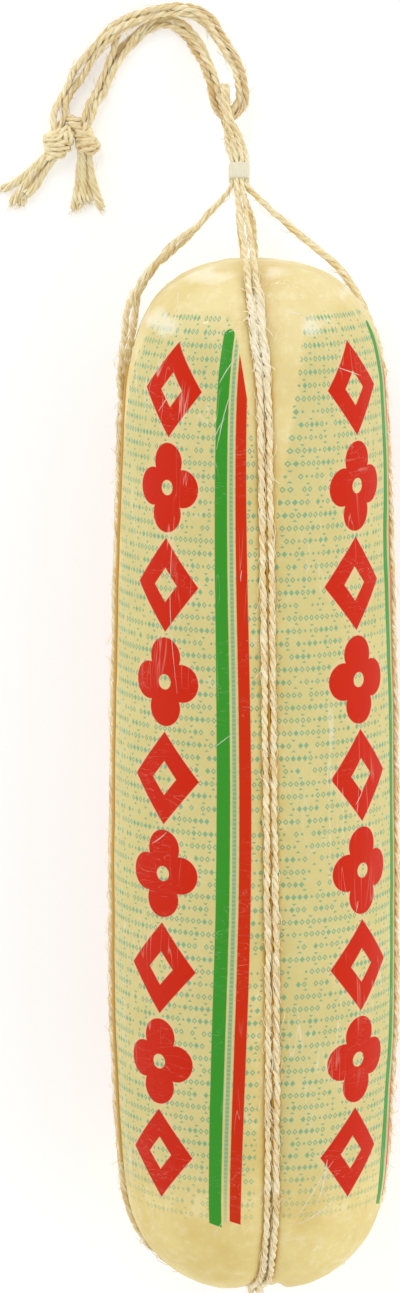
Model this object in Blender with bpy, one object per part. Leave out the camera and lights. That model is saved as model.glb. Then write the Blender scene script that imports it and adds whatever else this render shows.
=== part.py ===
"""A salami-shaped provolone cheese in its twine harness, lying on its back.

Metres, +Z up. The cheese lies along Y with its hanging end at +Y and its
shown side up, and the origin is on the floor under the middle of the cheese,
the harness and the clip.
"""
import math

import bmesh
import bpy
import numpy as np
from mathutils import Matrix, Vector
from mathutils.bvhtree import BVHTree

MM = 0.001

# Lengths below are measured from a line this far short of the middle.
MIDDLE_Y = 0.45

# The cheese, in mm along its length: foot pole, end of the foot dome, start
# of the top dome, top pole.
FOOT_POLE = -252.6
FOOT_EQUATOR = -186.2
TOP_EQUATOR = 143.8
TOP_POLE = 213.8
BODY_RADII = [
    (-256.0, 60.6),
    (-186.0, 61.8),
    (-120.0, 63.9),
    (-50.0, 63.5),
    (20.0, 62.5),
    (85.0, 61.0),
    (130.0, 59.6),
    (214.0, 57.4),
]
# Exponents of the two domes' outlines: across the axis and along it.
FOOT_DOME = (2.0, 2.9)
TOP_DOME = (2.9, 2.8)
# How far the round section is flattened where it lies on the floor.
FLAT_CUT = 1.9

# The twine's four beds. Each line is the bed's sideways shift from the middle
# of its side, along the length. Depths are below the round section.
FRONT_LINE = [(-252, 0.6), (-236, 5.6), (-200, 7.6), (-150, 7.8), (50, 5.6), (140, 4.2),
              (176, 3.2), (200, 0.4), (214, 0.0)]
BACK_LINE = [(-252, 0.6), (-200, -1.0), (0, -2.0), (214, 0.0)]
LEFT_LINE = [(-252, 0.0), (-225, 8.5), (-170, 7.0), (-60, 2.0), (120, 0.5), (214, 0.0)]
RIGHT_LINE = [(-252, 0.0), (-200, -3.0), (-60, -2.0), (60, -3.0), (145, -9.0), (214, -17.0)]
FRONT_BED = [(-252, 1.8), (-200, 1.6), (-120, 1.2), (100, 1.1), (150, 1.6), (214, 1.6)]
SIDE_BED = [(-252, 1.8), (-200, 1.4), (0, 1.0), (214, 1.2)]
BACK_BED = [(-252, 1.8), (-215, 2.4), (-185, 4.8), (150, 4.8), (180, 2.4), (214, 1.6)]
FRONT_VALLEY = [(-252, 3.2), (-225, 3.0), (-150, 1.4), (60, 1.2), (140, 3.0), (185, 4.4), (214, 3.0)]
SIDE_VALLEY = [(-252, 3.0), (-225, 2.6), (-150, 1.0), (100, 1.0), (185, 2.2), (214, 2.0)]
BACK_VALLEY = [(-252, 3.2), (-200, 1.6), (-150, 1.0), (130, 1.0), (185, 2.2), (214, 2.0)]
BED_WIDTH = 5.3
VALLEY_WIDTH = 13.0
# The beds die away towards the top pole, where the twine has left the cheese.
TOP_FADE = (14.0, 36.0)

# Angles from a bed's line at which the skin has a lengthwise edge, in degrees.
BED_ANGLES = [0.0, 2.2, 4.4, 7.0, 11.0, 17.0, 25.0, 35.0, 45.0]
DOME_RINGS = 9
BODY_RINGS = 10

# Twine: harness strands, and the thinner, drawn ones above the clip.
TWINE = 3.0
PAIR_PITCH = 3.5
CORD_TWINE = 2.6
BIGHT_TWINE = 2.3
SEAT = 0.6
CROSSING_LIFT = 3.45
CROSSING_REACH = (5.5, 17.0)

# The clip, a crimped band. Its axis slopes down towards the carrying cord.
CLIP_MIDDLE = (-6.8, 250.7, 42.0)
CLIP_SLOPE = math.radians(30.0)
CLIP_WIDTH = 9.4
CLIP_DEPTH = 7.8
CLIP_LENGTH = 7.5
CLIP_RIBS = 7
CLIP_GAP = 0.35
SQUEEZED_TWINE = 2.0
# How far from the clip a harness strand has its full thickness.
SPREAD = 52.0
# The eight strands stand round the clip's face as pairs, in mm.
RING_FRONT = [(-1.15, 2.3), (1.15, 2.3)]
RING_BACK = [(-1.15, -2.3), (1.15, -2.3)]
RING_LEFT = [(-3.15, -1.15), (-3.15, 1.15)]
RING_RIGHT = [(3.15, -1.15), (3.15, 1.15)]

# Free stretches of the harness, between the shoulder and the clip, where a
# strand stands off the straight line.
LEFT_OUTER_FREE = [(-24.4, 228.8, 49.5), (-34.7, 221.9, 51.5), (-40.3, 215.2, 53.0),
                   (-46.2, 209.4, 55.0), (-51.0, 202.7, 57.0), (-54.8, 195.8, 58.5),
                   (-56.6, 187.0, 59.2), (-57.9, 176.2, 58.8), (-59.3, 163.0, 58.9)]
LEFT_INNER_FREE = [(-24.0, 228.6, 46.2), (-30.4, 221.7, 47.6), (-38.5, 214.9, 49.4),
                   (-43.6, 210.0, 50.8), (-48.4, 203.6, 52.4), (-51.4, 197.6, 53.8)]
RIGHT_FREE = [(2.8, 238.6, 43.6), (14.4, 228.2, 43.4), (25.2, 219.2, 43.0), (35.8, 210.3, 42.6),
              (41.0, 204.2, 42.4), (45.6, 196.6, 42.4), (49.6, 188.4, 42.8)]
# How far the side strands stand off the skin near the shoulder.
SIDE_SLACK = 0.9
BACK_BULGE = (1.6, 226.0, 26.5)

# The carrying cord, four strands side by side. Outer half from the left knot
# to the bight, inner half from the bight to the right knot.
OUTER_HALF = [(-87.7, 269.1, 6.7), (-87.1, 271.9, 6.1), (-86.2, 275.8, 4.7), (-84.7, 280.2, 3.9),
              (-82.4, 284.6, 3.9), (-79.8, 289.0, 4.1), (-77.0, 293.3, 4.8), (-73.9, 297.7, 5.9),
              (-70.5, 302.2, 7.3), (-66.9, 306.5, 8.8), (-62.4, 310.7, 9.8), (-57.0, 314.4, 10.2),
              (-50.6, 317.1, 10.2), (-44.0, 319.1, 10.0), (-37.3, 320.2, 9.8), (-30.7, 320.2, 9.4),
              (-25.1, 318.6, 9.0), (-20.8, 315.5, 8.7), (-17.4, 311.5, 9.1), (-14.4, 306.9, 10.1),
              (-11.6, 302.5, 11.6), (-9.0, 298.2, 13.3), (-7.2, 293.9, 15.2), (-6.0, 289.6, 17.2),
              (-5.2, 285.2, 18.8), (-5.0, 281.0, 19.8), (-6.0, 277.2, 20.2)]
BEND = (-11.1, 274.6, 20.4)
INNER_HALF = [(-16.4, 277.4, 20.0), (-17.9, 281.4, 19.4), (-18.3, 285.6, 18.0), (-19.0, 290.0, 16.0),
              (-20.6, 294.4, 13.6), (-22.6, 298.8, 11.0), (-25.0, 303.2, 8.4), (-27.8, 307.6, 6.2),
              (-31.2, 311.2, 4.8), (-36.2, 314.0, 4.0), (-42.4, 314.4, 3.8), (-47.6, 312.6, 3.8),
              (-51.8, 309.4, 3.8), (-55.4, 305.6, 3.8), (-59.4, 300.6, 3.8), (-63.0, 295.2, 3.8),
              (-66.0, 289.4, 3.9), (-68.4, 283.8, 4.2), (-70.7, 280.0, 5.2), (-72.4, 277.5, 6.2), (-73.2, 274.8, 6.7)]
STRAND_RING = 2.05
CORD_STEP = 10.0

# The bights that hold the carrying cord: two inner loops and two outer ones.
BIGHT_RADII = (4.9, 7.6)
BIGHT_SIDE = 1.33
BIGHT_END = (-11.5, 277.6, 19.4)
BIGHT_REACH = 6.5
BIGHT_SLOPE = math.radians(22.0)
BIGHT_STEP = 8.0
# Halfway from the clip, the outer loops rise and the inner ones stand wide.
BIGHT_MIDWAY = ((1.3, 5.8), (3.05, 2.8))

# Knots and frayed tails: where the strands enter and leave, and their radii.
KNOT_CAP = 3.7
LEFT_KNOT = {"top": (-88.0, 267.6, 6.8), "foot": (-91.0, 254.4, 6.2), "side": 6.4, "tall": 6.1}
RIGHT_KNOT = {"top": (-73.4, 273.2, 6.8), "foot": (-74.6, 256.6, 6.2), "side": 7.0, "tall": 6.2}
KNOT_COILS = 3.0
KNOT_RIDGE = 0.1
LEFT_TAIL = [(-91.2, 253.5, 6.1), (-91.8, 251.0, 5.2), (-95.4, 247.6, 3.6), (-101.0, 242.4, 2.6), (-107.6, 235.8, 2.1)]
RIGHT_TAIL = [(-74.65, 255.7, 6.1), (-74.85, 253.0, 5.3), (-75.0, 248.8, 3.6), (-75.2, 241.4, 2.6), (-75.0, 233.0, 2.1)]
TAIL_START = (2.3, 2.5)
LEFT_TAIL_END = (4.6, 1.7)
RIGHT_TAIL_END = (6.0, 1.7)
TAIL_LOBES = 4
TAIL_RIDGE = 0.12


def clear_scene():
    for thing in list(bpy.data.objects):
        bpy.data.objects.remove(thing, do_unlink=True)


def material(name, colour, roughness):
    """A Principled material with a plain colour, given as linear RGB."""
    made = bpy.data.materials.new(name)
    made.use_nodes = True
    shader = made.node_tree.nodes["Principled BSDF"]
    shader.inputs["Base Color"].default_value = (*colour, 1.0)
    shader.inputs["Roughness"].default_value = roughness
    shader.inputs["Metallic"].default_value = 0.0
    return made


def between(stations, where):
    """A smooth value through (place, value) stations that never overshoots."""
    xs = np.array([s[0] for s in stations], float)
    vs = np.array([s[1] for s in stations], float)
    where = min(max(where, xs[0]), xs[-1])
    k = min(int(np.searchsorted(xs, where, side="right")) - 1, len(xs) - 2)
    rises = np.diff(vs) / np.diff(xs)
    turns = [2 * a * b / (a + b) if a * b > 0 else 0.0 for a, b in zip(rises, rises[1:])]
    slopes = [rises[0], *turns, rises[-1]]
    width = xs[k + 1] - xs[k]
    t = (where - xs[k]) / width
    return float(
        vs[k] * (2 * t**3 - 3 * t**2 + 1)
        + vs[k + 1] * (3 * t**2 - 2 * t**3)
        + slopes[k] * width * (t**3 - 2 * t**2 + t)
        + slopes[k + 1] * width * (t**3 - t**2)
    )


def ramp(value, low, high):
    """0 below low, 1 above high, smooth between."""
    t = min(max((value - low) / (high - low), 0.0), 1.0)
    return t * t * (3 - 2 * t)


def axis_height(y):
    return between(BODY_RADII, y) - FLAT_CUT


def ring_at(station):
    """The axis place and radius for a station: 0 to 1 is the foot dome, 1 to
    2 the body and 2 to 3 the top dome."""
    if station < 1.0:
        turn = (1.0 - station) * math.pi / 2
        across, along = FOOT_DOME
        y = FOOT_EQUATOR + (FOOT_POLE - FOOT_EQUATOR) * math.sin(turn) ** (2 / along)
        return y, between(BODY_RADII, y) * math.cos(turn) ** (2 / across)
    if station <= 2.0:
        y = FOOT_EQUATOR + (TOP_EQUATOR - FOOT_EQUATOR) * (station - 1.0)
        return y, between(BODY_RADII, y)
    turn = (station - 2.0) * math.pi / 2
    across, along = TOP_DOME
    y = TOP_EQUATOR + (TOP_POLE - TOP_EQUATOR) * math.sin(turn) ** (2 / along)
    return y, between(BODY_RADII, y) * max(math.cos(turn), 0.0) ** (2 / across)


def round_point(angle, station):
    """The cheese before the twine has shaped it. Angle 0 is the shown side."""
    y, radius = ring_at(station)
    return Vector((radius * math.sin(angle), y, axis_height(y) + radius * math.cos(angle)))


def round_normal(angle, station):
    step = 0.002
    station = min(max(station, 0.01), 2.99)
    low, high = station - step, station + step
    along = round_point(angle, high) - round_point(angle, low)
    around = round_point(angle + step, station) - round_point(angle - step, station)
    return around.cross(along).normalized()


def pressed(lateral, bed, valley):
    """How deep the skin is pressed in at a sideways distance from the twine."""
    return bed * math.exp(-((lateral / BED_WIDTH) ** 4)) + valley * math.exp(
        -((lateral / VALLEY_WIDTH) ** 2)
    )


def press_depth(point):
    """The depth of the four beds and their wide valleys at a point."""
    y = point.y
    up = point.z - axis_height(y)
    front = 0.5 * (1 + math.tanh(up / 8.0))
    right = 0.5 * (1 + math.tanh(point.x / 8.0))
    depth = max(
        front * pressed(point.x - between(FRONT_LINE, y), between(FRONT_BED, y), between(FRONT_VALLEY, y))
        + (1 - front) * pressed(point.x - between(BACK_LINE, y), between(BACK_BED, y), between(BACK_VALLEY, y)),
        right * pressed(up - between(RIGHT_LINE, y), between(SIDE_BED, y), between(SIDE_VALLEY, y))
        + (1 - right) * pressed(up - between(LEFT_LINE, y), between(SIDE_BED, y), between(SIDE_VALLEY, y)),
    )
    if y > TOP_EQUATOR:
        depth *= ramp(math.hypot(point.x, up), *TOP_FADE)
    return depth


def skin_point(angle, station):
    start = round_point(angle, station)
    made = start - round_normal(angle, station) * press_depth(start)
    made.z = max(made.z, 0.0)
    return made


def bed_angles(y, fine):
    """The lengthwise edges' angles at one ring, close together at each bed.
    Fine puts one more between each two."""
    radius = between(BODY_RADII, y)
    lines = [
        between(FRONT_LINE, y) / radius,
        math.pi / 2 - between(RIGHT_LINE, y) / radius,
        math.pi - between(BACK_LINE, y) / radius,
        1.5 * math.pi + between(LEFT_LINE, y) / radius,
        2 * math.pi + between(FRONT_LINE, y) / radius,
    ]
    angles = []
    for low, high in zip(lines, lines[1:]):
        middle = (low + high) / 2
        half = (high - low) / 2
        shares = [math.radians(a) for a in BED_ANGLES[:-3]]
        shares += [half - (math.pi / 4 - math.radians(a)) * half / (math.pi / 4) for a in BED_ANGLES[-3:]]
        angles += [low + s for s in shares]
        angles += [high - s for s in reversed(shares[1:-1])]
    if fine:
        ends = angles[1:] + [angles[0] + 2 * math.pi]
        angles = [a for pair in zip(angles, [(a + b) / 2 for a, b in zip(angles, ends)]) for a in pair]
    return angles


def skin_mesh(fine=1):
    """The skin as a closed mesh. Fine above 1 has that many more rings."""
    dome, body = DOME_RINGS * fine, BODY_RINGS * fine
    stations = [0.04] + [0.1 + 0.9 * k / (dome - 1) for k in range(dome - 1)]
    stations += [1 + k / body for k in range(body + 1)]
    stations += [3 - s for s in reversed(stations[:dome])]
    mesh = bmesh.new()
    foot = mesh.verts.new(skin_point(0.0, 0.0) * MM)
    rings = []
    for station in stations:
        y, _ = ring_at(station)
        rings.append([mesh.verts.new(skin_point(a, station) * MM) for a in bed_angles(y, fine > 1)])
    top = mesh.verts.new(skin_point(0.0, 3.0) * MM)
    count = len(rings[0])
    for k in range(count):
        following = (k + 1) % count
        mesh.faces.new((foot, rings[0][k], rings[0][following]))
        mesh.faces.new((top, rings[-1][following], rings[-1][k]))
        for low, high in zip(rings, rings[1:]):
            mesh.faces.new((low[k], high[k], high[following], low[following]))
    bmesh.ops.recalc_face_normals(mesh, faces=mesh.faces)
    bmesh.ops.triangulate(mesh, faces=mesh.faces)
    return mesh


def from_bmesh(name, mesh, finish):
    data = bpy.data.meshes.new(name)
    mesh.to_mesh(data)
    mesh.free()
    data.shade_smooth()
    data.set_sharp_from_angle(angle=math.radians(50))
    made = bpy.data.objects.new(name, data)
    bpy.context.collection.objects.link(made)
    data.materials.append(finish)
    return made


def skin_tree():
    """A fine copy of the skin, in mm, for laying the strands on."""
    mesh = skin_mesh(3)
    bmesh.ops.scale(mesh, vec=(1 / MM, 1 / MM, 1 / MM), verts=mesh.verts)
    tree = BVHTree.FromBMesh(mesh)
    mesh.free()
    return tree


def on_skin(tree, start, direction, lift):
    """The point at a height over the skin, out from a start inside it. The
    start's sideways place is kept, so that a pair stays a pair."""
    direction = Vector(direction).normalized()
    hit, normal, _, _ = tree.ray_cast(Vector(start), direction)
    normal = normal if normal.dot(direction) > 0 else -normal
    for k in (0, 2):
        if abs(direction[k]) < 1e-6:
            normal[k] = 0.0
    normal.normalize()
    return hit + normal * (lift + TWINE / 2 + SEAT), normal


def tube(name, points, diameter, finish, widths=None):
    """A round strand through points, its ends closed."""
    curve = bpy.data.curves.new(name, "CURVE")
    curve.dimensions = "3D"
    curve.bevel_depth = diameter / 2 * MM
    curve.bevel_resolution = 2
    curve.use_fill_caps = True
    curve.render_resolution_u = 0
    spline = curve.splines.new("POLY")
    spline.points.add(len(points) - 1)
    for k, place in enumerate(points):
        spline.points[k].co = (*(Vector(place) * MM), 1.0)
        spline.points[k].radius = 1.0 if widths is None else widths[k]
    made = bpy.data.objects.new(name, curve)
    bpy.context.collection.objects.link(made)
    curve.materials.append(finish)
    return made


def smooth(points, step=1.0):
    """Points about one step apart on a smooth curve through the given ones."""
    pts = [np.array(p, float) for p in points]
    pts = [2 * pts[0] - pts[1]] + pts + [2 * pts[-1] - pts[-2]]
    line = []
    for a, b, c, d in zip(pts, pts[1:], pts[2:], pts[3:]):
        count = max(2, int(np.linalg.norm(c - b) / 0.25))
        knots = np.cumsum([0.0] + [math.sqrt(np.linalg.norm(q - p)) for p, q in ((a, b), (b, c), (c, d))])
        for t in np.linspace(knots[1], knots[2], count, endpoint=False):
            ab = (knots[1] - t) / (knots[1] - knots[0]) * a + (t - knots[0]) / (knots[1] - knots[0]) * b
            bc = (knots[2] - t) / (knots[2] - knots[1]) * b + (t - knots[1]) / (knots[2] - knots[1]) * c
            cd = (knots[3] - t) / (knots[3] - knots[2]) * c + (t - knots[2]) / (knots[3] - knots[2]) * d
            abc = (knots[2] - t) / (knots[2] - knots[0]) * ab + (t - knots[0]) / (knots[2] - knots[0]) * bc
            bcd = (knots[3] - t) / (knots[3] - knots[1]) * bc + (t - knots[1]) / (knots[3] - knots[1]) * cd
            line.append((knots[2] - t) / (knots[2] - knots[1]) * abc + (t - knots[1]) / (knots[2] - knots[1]) * bcd)
    line.append(pts[-2])
    line = np.array(line)
    run = np.concatenate([[0.0], np.cumsum(np.linalg.norm(np.diff(line, axis=0), axis=1))])
    places = np.linspace(0.0, run[-1], max(3, int(round(run[-1] / step)) + 1))
    return np.stack([np.interp(places, run, line[:, k]) for k in range(3)], axis=1)


def thin(line, off=0.12, longest=26.0):
    """The fewest points of a fine line that keep it within a small distance."""
    kept = [0]
    while kept[-1] < len(line) - 1:
        start = kept[-1]
        best = start + 1
        for end in range(start + 2, len(line)):
            chord = line[end] - line[start]
            length = np.linalg.norm(chord)
            inner = line[start + 1:end] - line[start]
            gaps = np.linalg.norm(np.cross(inner, chord / length), axis=1)
            if length > longest or gaps.max() > off:
                break
            best = end
        kept.append(best)
    return line[kept]


def clip_frame():
    """The clip's middle, its axis towards the carrying cord, and its up."""
    along = Vector((0.0, math.cos(CLIP_SLOPE), -math.sin(CLIP_SLOPE)))
    up = Vector((0.0, math.sin(CLIP_SLOPE), math.cos(CLIP_SLOPE)))
    return Vector(CLIP_MIDDLE), along, up


def clip_end(place, side):
    """Two points where a strand leaves the clip: side -1 faces the cheese."""
    middle, along, up = clip_frame()
    seat = middle + Vector((place[0], 0.0, 0.0)) + up * place[1]
    return [seat + along * side * (CLIP_LENGTH / 2 + CLIP_GAP + d) for d in (0.0, 1.6)]


def taper(points, ends, full):
    """Widths along a strand that narrows evenly to the clip at both ends."""
    run = np.concatenate([[0.0], np.cumsum(np.linalg.norm(np.diff(np.array(points), axis=0), axis=1))])
    widths = np.ones(len(points))
    low = SQUEEZED_TWINE / ends
    for distance in (run, run[-1] - run):
        shares = np.clip(distance / full, 0.0, 1.0)
        widths = np.minimum(widths, low + (1 - low) * shares)
    return widths


def shoulder(tree, line, offset, clip, outward, lead):
    """Points over the top dome, from the body to where the strand runs
    straight to the clip."""
    points = []
    for turn in range(0, 90, 4):
        angle = math.radians(turn)
        y = TOP_EQUATOR + (TOP_POLE - TOP_EQUATOR) * math.sin(angle)
        start, direction = outward(between(line, y) + offset, angle)
        place, normal = on_skin(tree, start, direction, 0.0)
        if (clip - place).dot(normal) > lead:
            break
        points.append(place)
    return points


def front_back_strand(tree, name, offset, finish):
    """One strand down the shown side, under the foot and up the back."""
    which = 0 if offset < 0 else 1

    def over(side):
        def outward(sideways, angle):
            y = TOP_EQUATOR
            return (sideways, y, axis_height(y)), (0.0, math.sin(angle), side * math.cos(angle))
        return outward

    front_end = clip_end(RING_FRONT[which], -1)
    back_end = clip_end(RING_BACK[which], -1)
    route = list(reversed(shoulder(tree, FRONT_LINE, offset, front_end[1], over(1.0), 0.0)))
    ys = np.linspace(TOP_EQUATOR - 22, FOOT_EQUATOR + 10, 15)
    route += [on_skin(tree, (between(FRONT_LINE, y) + offset, y, axis_height(y)), (0, 0, 1), 0.0)[0] for y in ys]
    for turn in range(0, 181, 5):
        angle = math.radians(turn)
        line = FRONT_LINE if turn <= 90 else BACK_LINE
        y = FOOT_EQUATOR + (FOOT_POLE - FOOT_EQUATOR) * math.sin(angle)
        start = (between(line, y) + offset, FOOT_EQUATOR, axis_height(FOOT_EQUATOR))
        reach = abs(math.cos(angle)) * between(BODY_RADII, y)
        lift = CROSSING_LIFT * (1 - ramp(reach, *CROSSING_REACH))
        route.append(on_skin(tree, start, (0, -math.sin(angle), math.cos(angle)), lift)[0])
    route += [on_skin(tree, (between(BACK_LINE, y) + offset, y, axis_height(y)), (0, 0, -1), 0.0)[0]
              for y in reversed(ys)]
    back = shoulder(tree, BACK_LINE, offset, back_end[1], over(-1.0), 0.0)
    if which:
        back.append(Vector(BACK_BULGE))
    route += back
    route = list(reversed(front_end)) [::-1] + route + list(reversed(back_end))
    line = thin(smooth(route), 0.17)
    return tube(name, line, TWINE, finish, taper(line, TWINE, SPREAD))


def side_strand(tree, name, offset, finish):
    """One strand down the left side, under the foot and up the right."""
    which = 0 if offset < 0 else 1
    left_end = clip_end(RING_LEFT[which], -1)
    right_end = clip_end(RING_RIGHT[which], -1)
    free = LEFT_OUTER_FREE if which else LEFT_INNER_FREE
    route = left_end + [Vector(p) for p in free]
    ys = np.linspace(TOP_EQUATOR + (6 if which else 36), FOOT_EQUATOR + 10, 16)
    for y in ys:
        start = (0.0, y, axis_height(y) + between(LEFT_LINE, y) + offset)
        route.append(on_skin(tree, start, (-1, 0, 0), SIDE_SLACK * ramp(y, 85.0, 140.0))[0])
    for turn in range(0, 181, 5):
        angle = math.radians(turn)
        line = LEFT_LINE if turn <= 90 else RIGHT_LINE
        y = FOOT_EQUATOR + (FOOT_POLE - FOOT_EQUATOR) * math.sin(angle)
        start = (0.0, FOOT_EQUATOR, axis_height(FOOT_EQUATOR) + between(line, y) + offset)
        route.append(on_skin(tree, start, (-math.cos(angle), -math.sin(angle), 0.0), 0.0)[0])
    for y in np.linspace(FOOT_EQUATOR + 10, TOP_EQUATOR + 34, 18):
        start = (0.0, y, axis_height(y) + between(RIGHT_LINE, y) + offset)
        route.append(on_skin(tree, start, (1, 0, 0), SIDE_SLACK * ramp(y, 130.0, 175.0))[0])
    route += [Vector(p) + Vector((0.0, 0.0, offset)) for p in reversed(RIGHT_FREE)]
    route += list(reversed(right_end))
    line = thin(smooth(route), 0.17)
    return tube(name, line, TWINE, finish, taper(line, TWINE, SPREAD))


def make_clip(finish):
    """The crimped band: a ribbed oblong block, its ends bevelled."""
    middle, along, up = clip_frame()
    mesh = bmesh.new()
    outline = []
    count = 4 * CLIP_RIBS
    for k in range(count):
        angle = 2 * math.pi * (k + 0.5) / count
        c, s = math.cos(angle), math.sin(angle)
        power = 0.42
        rib = 0.97 if k % 2 else 1.0
        x = math.copysign(abs(c) ** power, c) * CLIP_WIDTH / 2 * rib
        h = math.copysign(abs(s) ** power, s) * CLIP_DEPTH / 2 * rib
        outline.append((x, h))
    edge = 0.5
    levels = [(-CLIP_LENGTH / 2, 0.93), (-CLIP_LENGTH / 2 + edge, 1.0),
              (CLIP_LENGTH / 2 - edge, 1.0), (CLIP_LENGTH / 2, 0.93)]
    rings = []
    for distance, share in levels:
        centre = middle + along * distance
        rings.append([mesh.verts.new((centre + Vector((x * share, 0, 0)) + up * h * share) * MM) for x, h in outline])
    for low, high in zip(rings, rings[1:]):
        for k in range(count):
            following = (k + 1) % count
            mesh.faces.new((low[k], low[following], high[following], high[k]))
    mesh.faces.new(rings[0])
    mesh.faces.new(rings[-1])
    bmesh.ops.recalc_face_normals(mesh, faces=mesh.faces)
    bmesh.ops.triangulate(mesh, faces=mesh.faces)
    return from_bmesh("clip", mesh, finish)


def make_bights(finish):
    """Four loops from the clip round the carrying cord and back. They keep to
    a middle line that leaves the clip along its axis."""
    middle, along, _ = clip_frame()
    ahead = Vector((0.0, math.cos(BIGHT_SLOPE), -math.sin(BIGHT_SLOPE)))
    up = Vector((0.0, math.sin(BIGHT_SLOPE), math.cos(BIGHT_SLOPE)))
    start = middle + along * (CLIP_LENGTH / 2 + CLIP_GAP + 1.6)
    end = Vector(BIGHT_END) - ahead * BIGHT_REACH
    chord = (end - start).normalized()
    across = Vector((0.0, -chord.z, chord.y))
    rings = [
        (RING_FRONT, RING_BACK, BIGHT_RADII[1]),
        ([RING_LEFT[1], RING_RIGHT[1]], [RING_LEFT[0], RING_RIGHT[0]], BIGHT_RADII[0]),
    ]
    number = 0
    for fronts, backs, radius in rings:
        for which, side in enumerate((-BIGHT_SIDE, BIGHT_SIDE)):
            number += 1
            wide, high = BIGHT_MIDWAY[0 if radius == BIGHT_RADII[1] else 1]
            wide = math.copysign(wide, side)
            above, below = clip_end(fronts[which], 1), clip_end(backs[which], 1)
            beside = Vector((side, 0.0, 0.0))
            centre = (start + end) / 2 + Vector((wide, 0.0, 0.0))
            route = above + [centre + across * high, end + beside + up * radius]
            for turn in range(90, -91, -30):
                angle = math.radians(turn)
                arc = ahead * math.cos(angle) + up * math.sin(angle)
                route.append(Vector(BIGHT_END) + beside + arc * radius)
            route += [end + beside - up * radius, centre - across * high] + list(reversed(below))
            line = thin(smooth(route, 0.5), 0.15, BIGHT_STEP)
            tube(f"bight_{number}", line, BIGHT_TWINE, finish, taper(line, BIGHT_TWINE, 10.0))


def make_carrying_cord(finish):
    """Four strands round one route, turning slowly about each other."""
    line = smooth(OUTER_HALF + [BEND] + INNER_HALF, 1.0)
    run = np.arange(len(line)) / (len(line) - 1)
    bend_at = run[int(np.argmin(np.linalg.norm(line - np.array(BEND), axis=1)))]
    ahead = np.gradient(line, axis=0)
    ahead /= np.linalg.norm(ahead, axis=1)[:, None]
    level = np.cross(np.array([0.0, 0.0, 1.0]), ahead)
    level /= np.linalg.norm(level, axis=1)[:, None]
    lift = np.cross(ahead, level)
    for strand in range(4):
        points = []
        for k in range(len(line)):
            share = run[k] / bend_at if run[k] < bend_at else (1 - run[k]) / (1 - bend_at)
            turning = math.pi / 2 * (ramp(share, 0.12, 0.45) + ramp(share, 0.45, 0.8))
            angle = math.pi / 4 + strand * math.pi / 2 + turning
            points.append(line[k] + STRAND_RING * (math.cos(angle) * level[k] + math.sin(angle) * lift[k]))
        tube(f"carry_strand_{strand + 1}", thin(np.array(points), 0.22, CORD_STEP), CORD_TWINE, finish)


def make_knot(name, knot, finish):
    """A tight overhand knot: a body whose ridge winds round it like a coil."""
    top, foot = Vector(knot["top"]), Vector(knot["foot"])
    axis = (foot - top).normalized()
    side = axis.cross(Vector((0, 0, 1))).normalized()
    up = side.cross(axis)
    rows, count = 11, 14
    mesh = bmesh.new()
    rings = []
    for row in range(rows + 1):
        share = row / rows
        swell = math.sin(math.pi * share) ** 0.6 if 0 < row < rows else 0.0
        centre = top.lerp(foot, share)
        ring = []
        for k in range(count):
            angle = 2 * math.pi * k / count
            ridge = 1 + KNOT_RIDGE * swell * math.cos(2 * math.pi * KNOT_COILS * share - angle)
            wide = (KNOT_CAP + (knot["side"] - KNOT_CAP) * swell) * ridge
            tall = (KNOT_CAP + (knot["tall"] - KNOT_CAP) * swell) * ridge
            place = centre + side * wide * math.cos(angle) + up * tall * math.sin(angle)
            place.z = max(place.z, 0.3)
            ring.append(mesh.verts.new(place * MM))
        rings.append(ring)
    for low, high in zip(rings, rings[1:]):
        for k in range(count):
            following = (k + 1) % count
            mesh.faces.new((low[k], low[following], high[following], high[k]))
    mesh.faces.new(rings[0])
    mesh.faces.new(rings[-1])
    bmesh.ops.recalc_face_normals(mesh, faces=mesh.faces)
    bmesh.ops.triangulate(mesh, faces=mesh.faces)
    return from_bmesh(name, mesh, finish)


def make_tail(name, route, end, finish):
    """The strands' frayed ends, one fluted fan that flattens as it spreads."""
    line = smooth(route, 3.2)
    mesh = bmesh.new()
    count = 16
    rings = []
    for k, place in enumerate(line):
        share = k / (len(line) - 1)
        ahead = Vector(line[min(k + 1, len(line) - 1)] - line[max(k - 1, 0)]).normalized()
        side = ahead.cross(Vector((0, 0, 1))).normalized()
        up = side.cross(ahead)
        wide = TAIL_START[0] + (end[0] - TAIL_START[0]) * share
        tall = TAIL_START[1] + (end[1] - TAIL_START[1]) * share
        ring = []
        for j in range(count):
            angle = 2 * math.pi * j / count
            flute = 1 + TAIL_RIDGE * math.cos(TAIL_LOBES * angle)
            corner = Vector(place) + side * wide * flute * math.cos(angle) + up * tall * flute * math.sin(angle)
            corner.z = max(corner.z, 0.3)
            ring.append(mesh.verts.new(corner * MM))
        rings.append(ring)
    for low, high in zip(rings, rings[1:]):
        for k in range(count):
            following = (k + 1) % count
            mesh.faces.new((low[k], low[following], high[following], high[k]))
    mesh.faces.new(rings[0])
    mesh.faces.new(rings[-1])
    bmesh.ops.recalc_face_normals(mesh, faces=mesh.faces)
    bmesh.ops.triangulate(mesh, faces=mesh.faces)
    return from_bmesh(name, mesh, finish)


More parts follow.
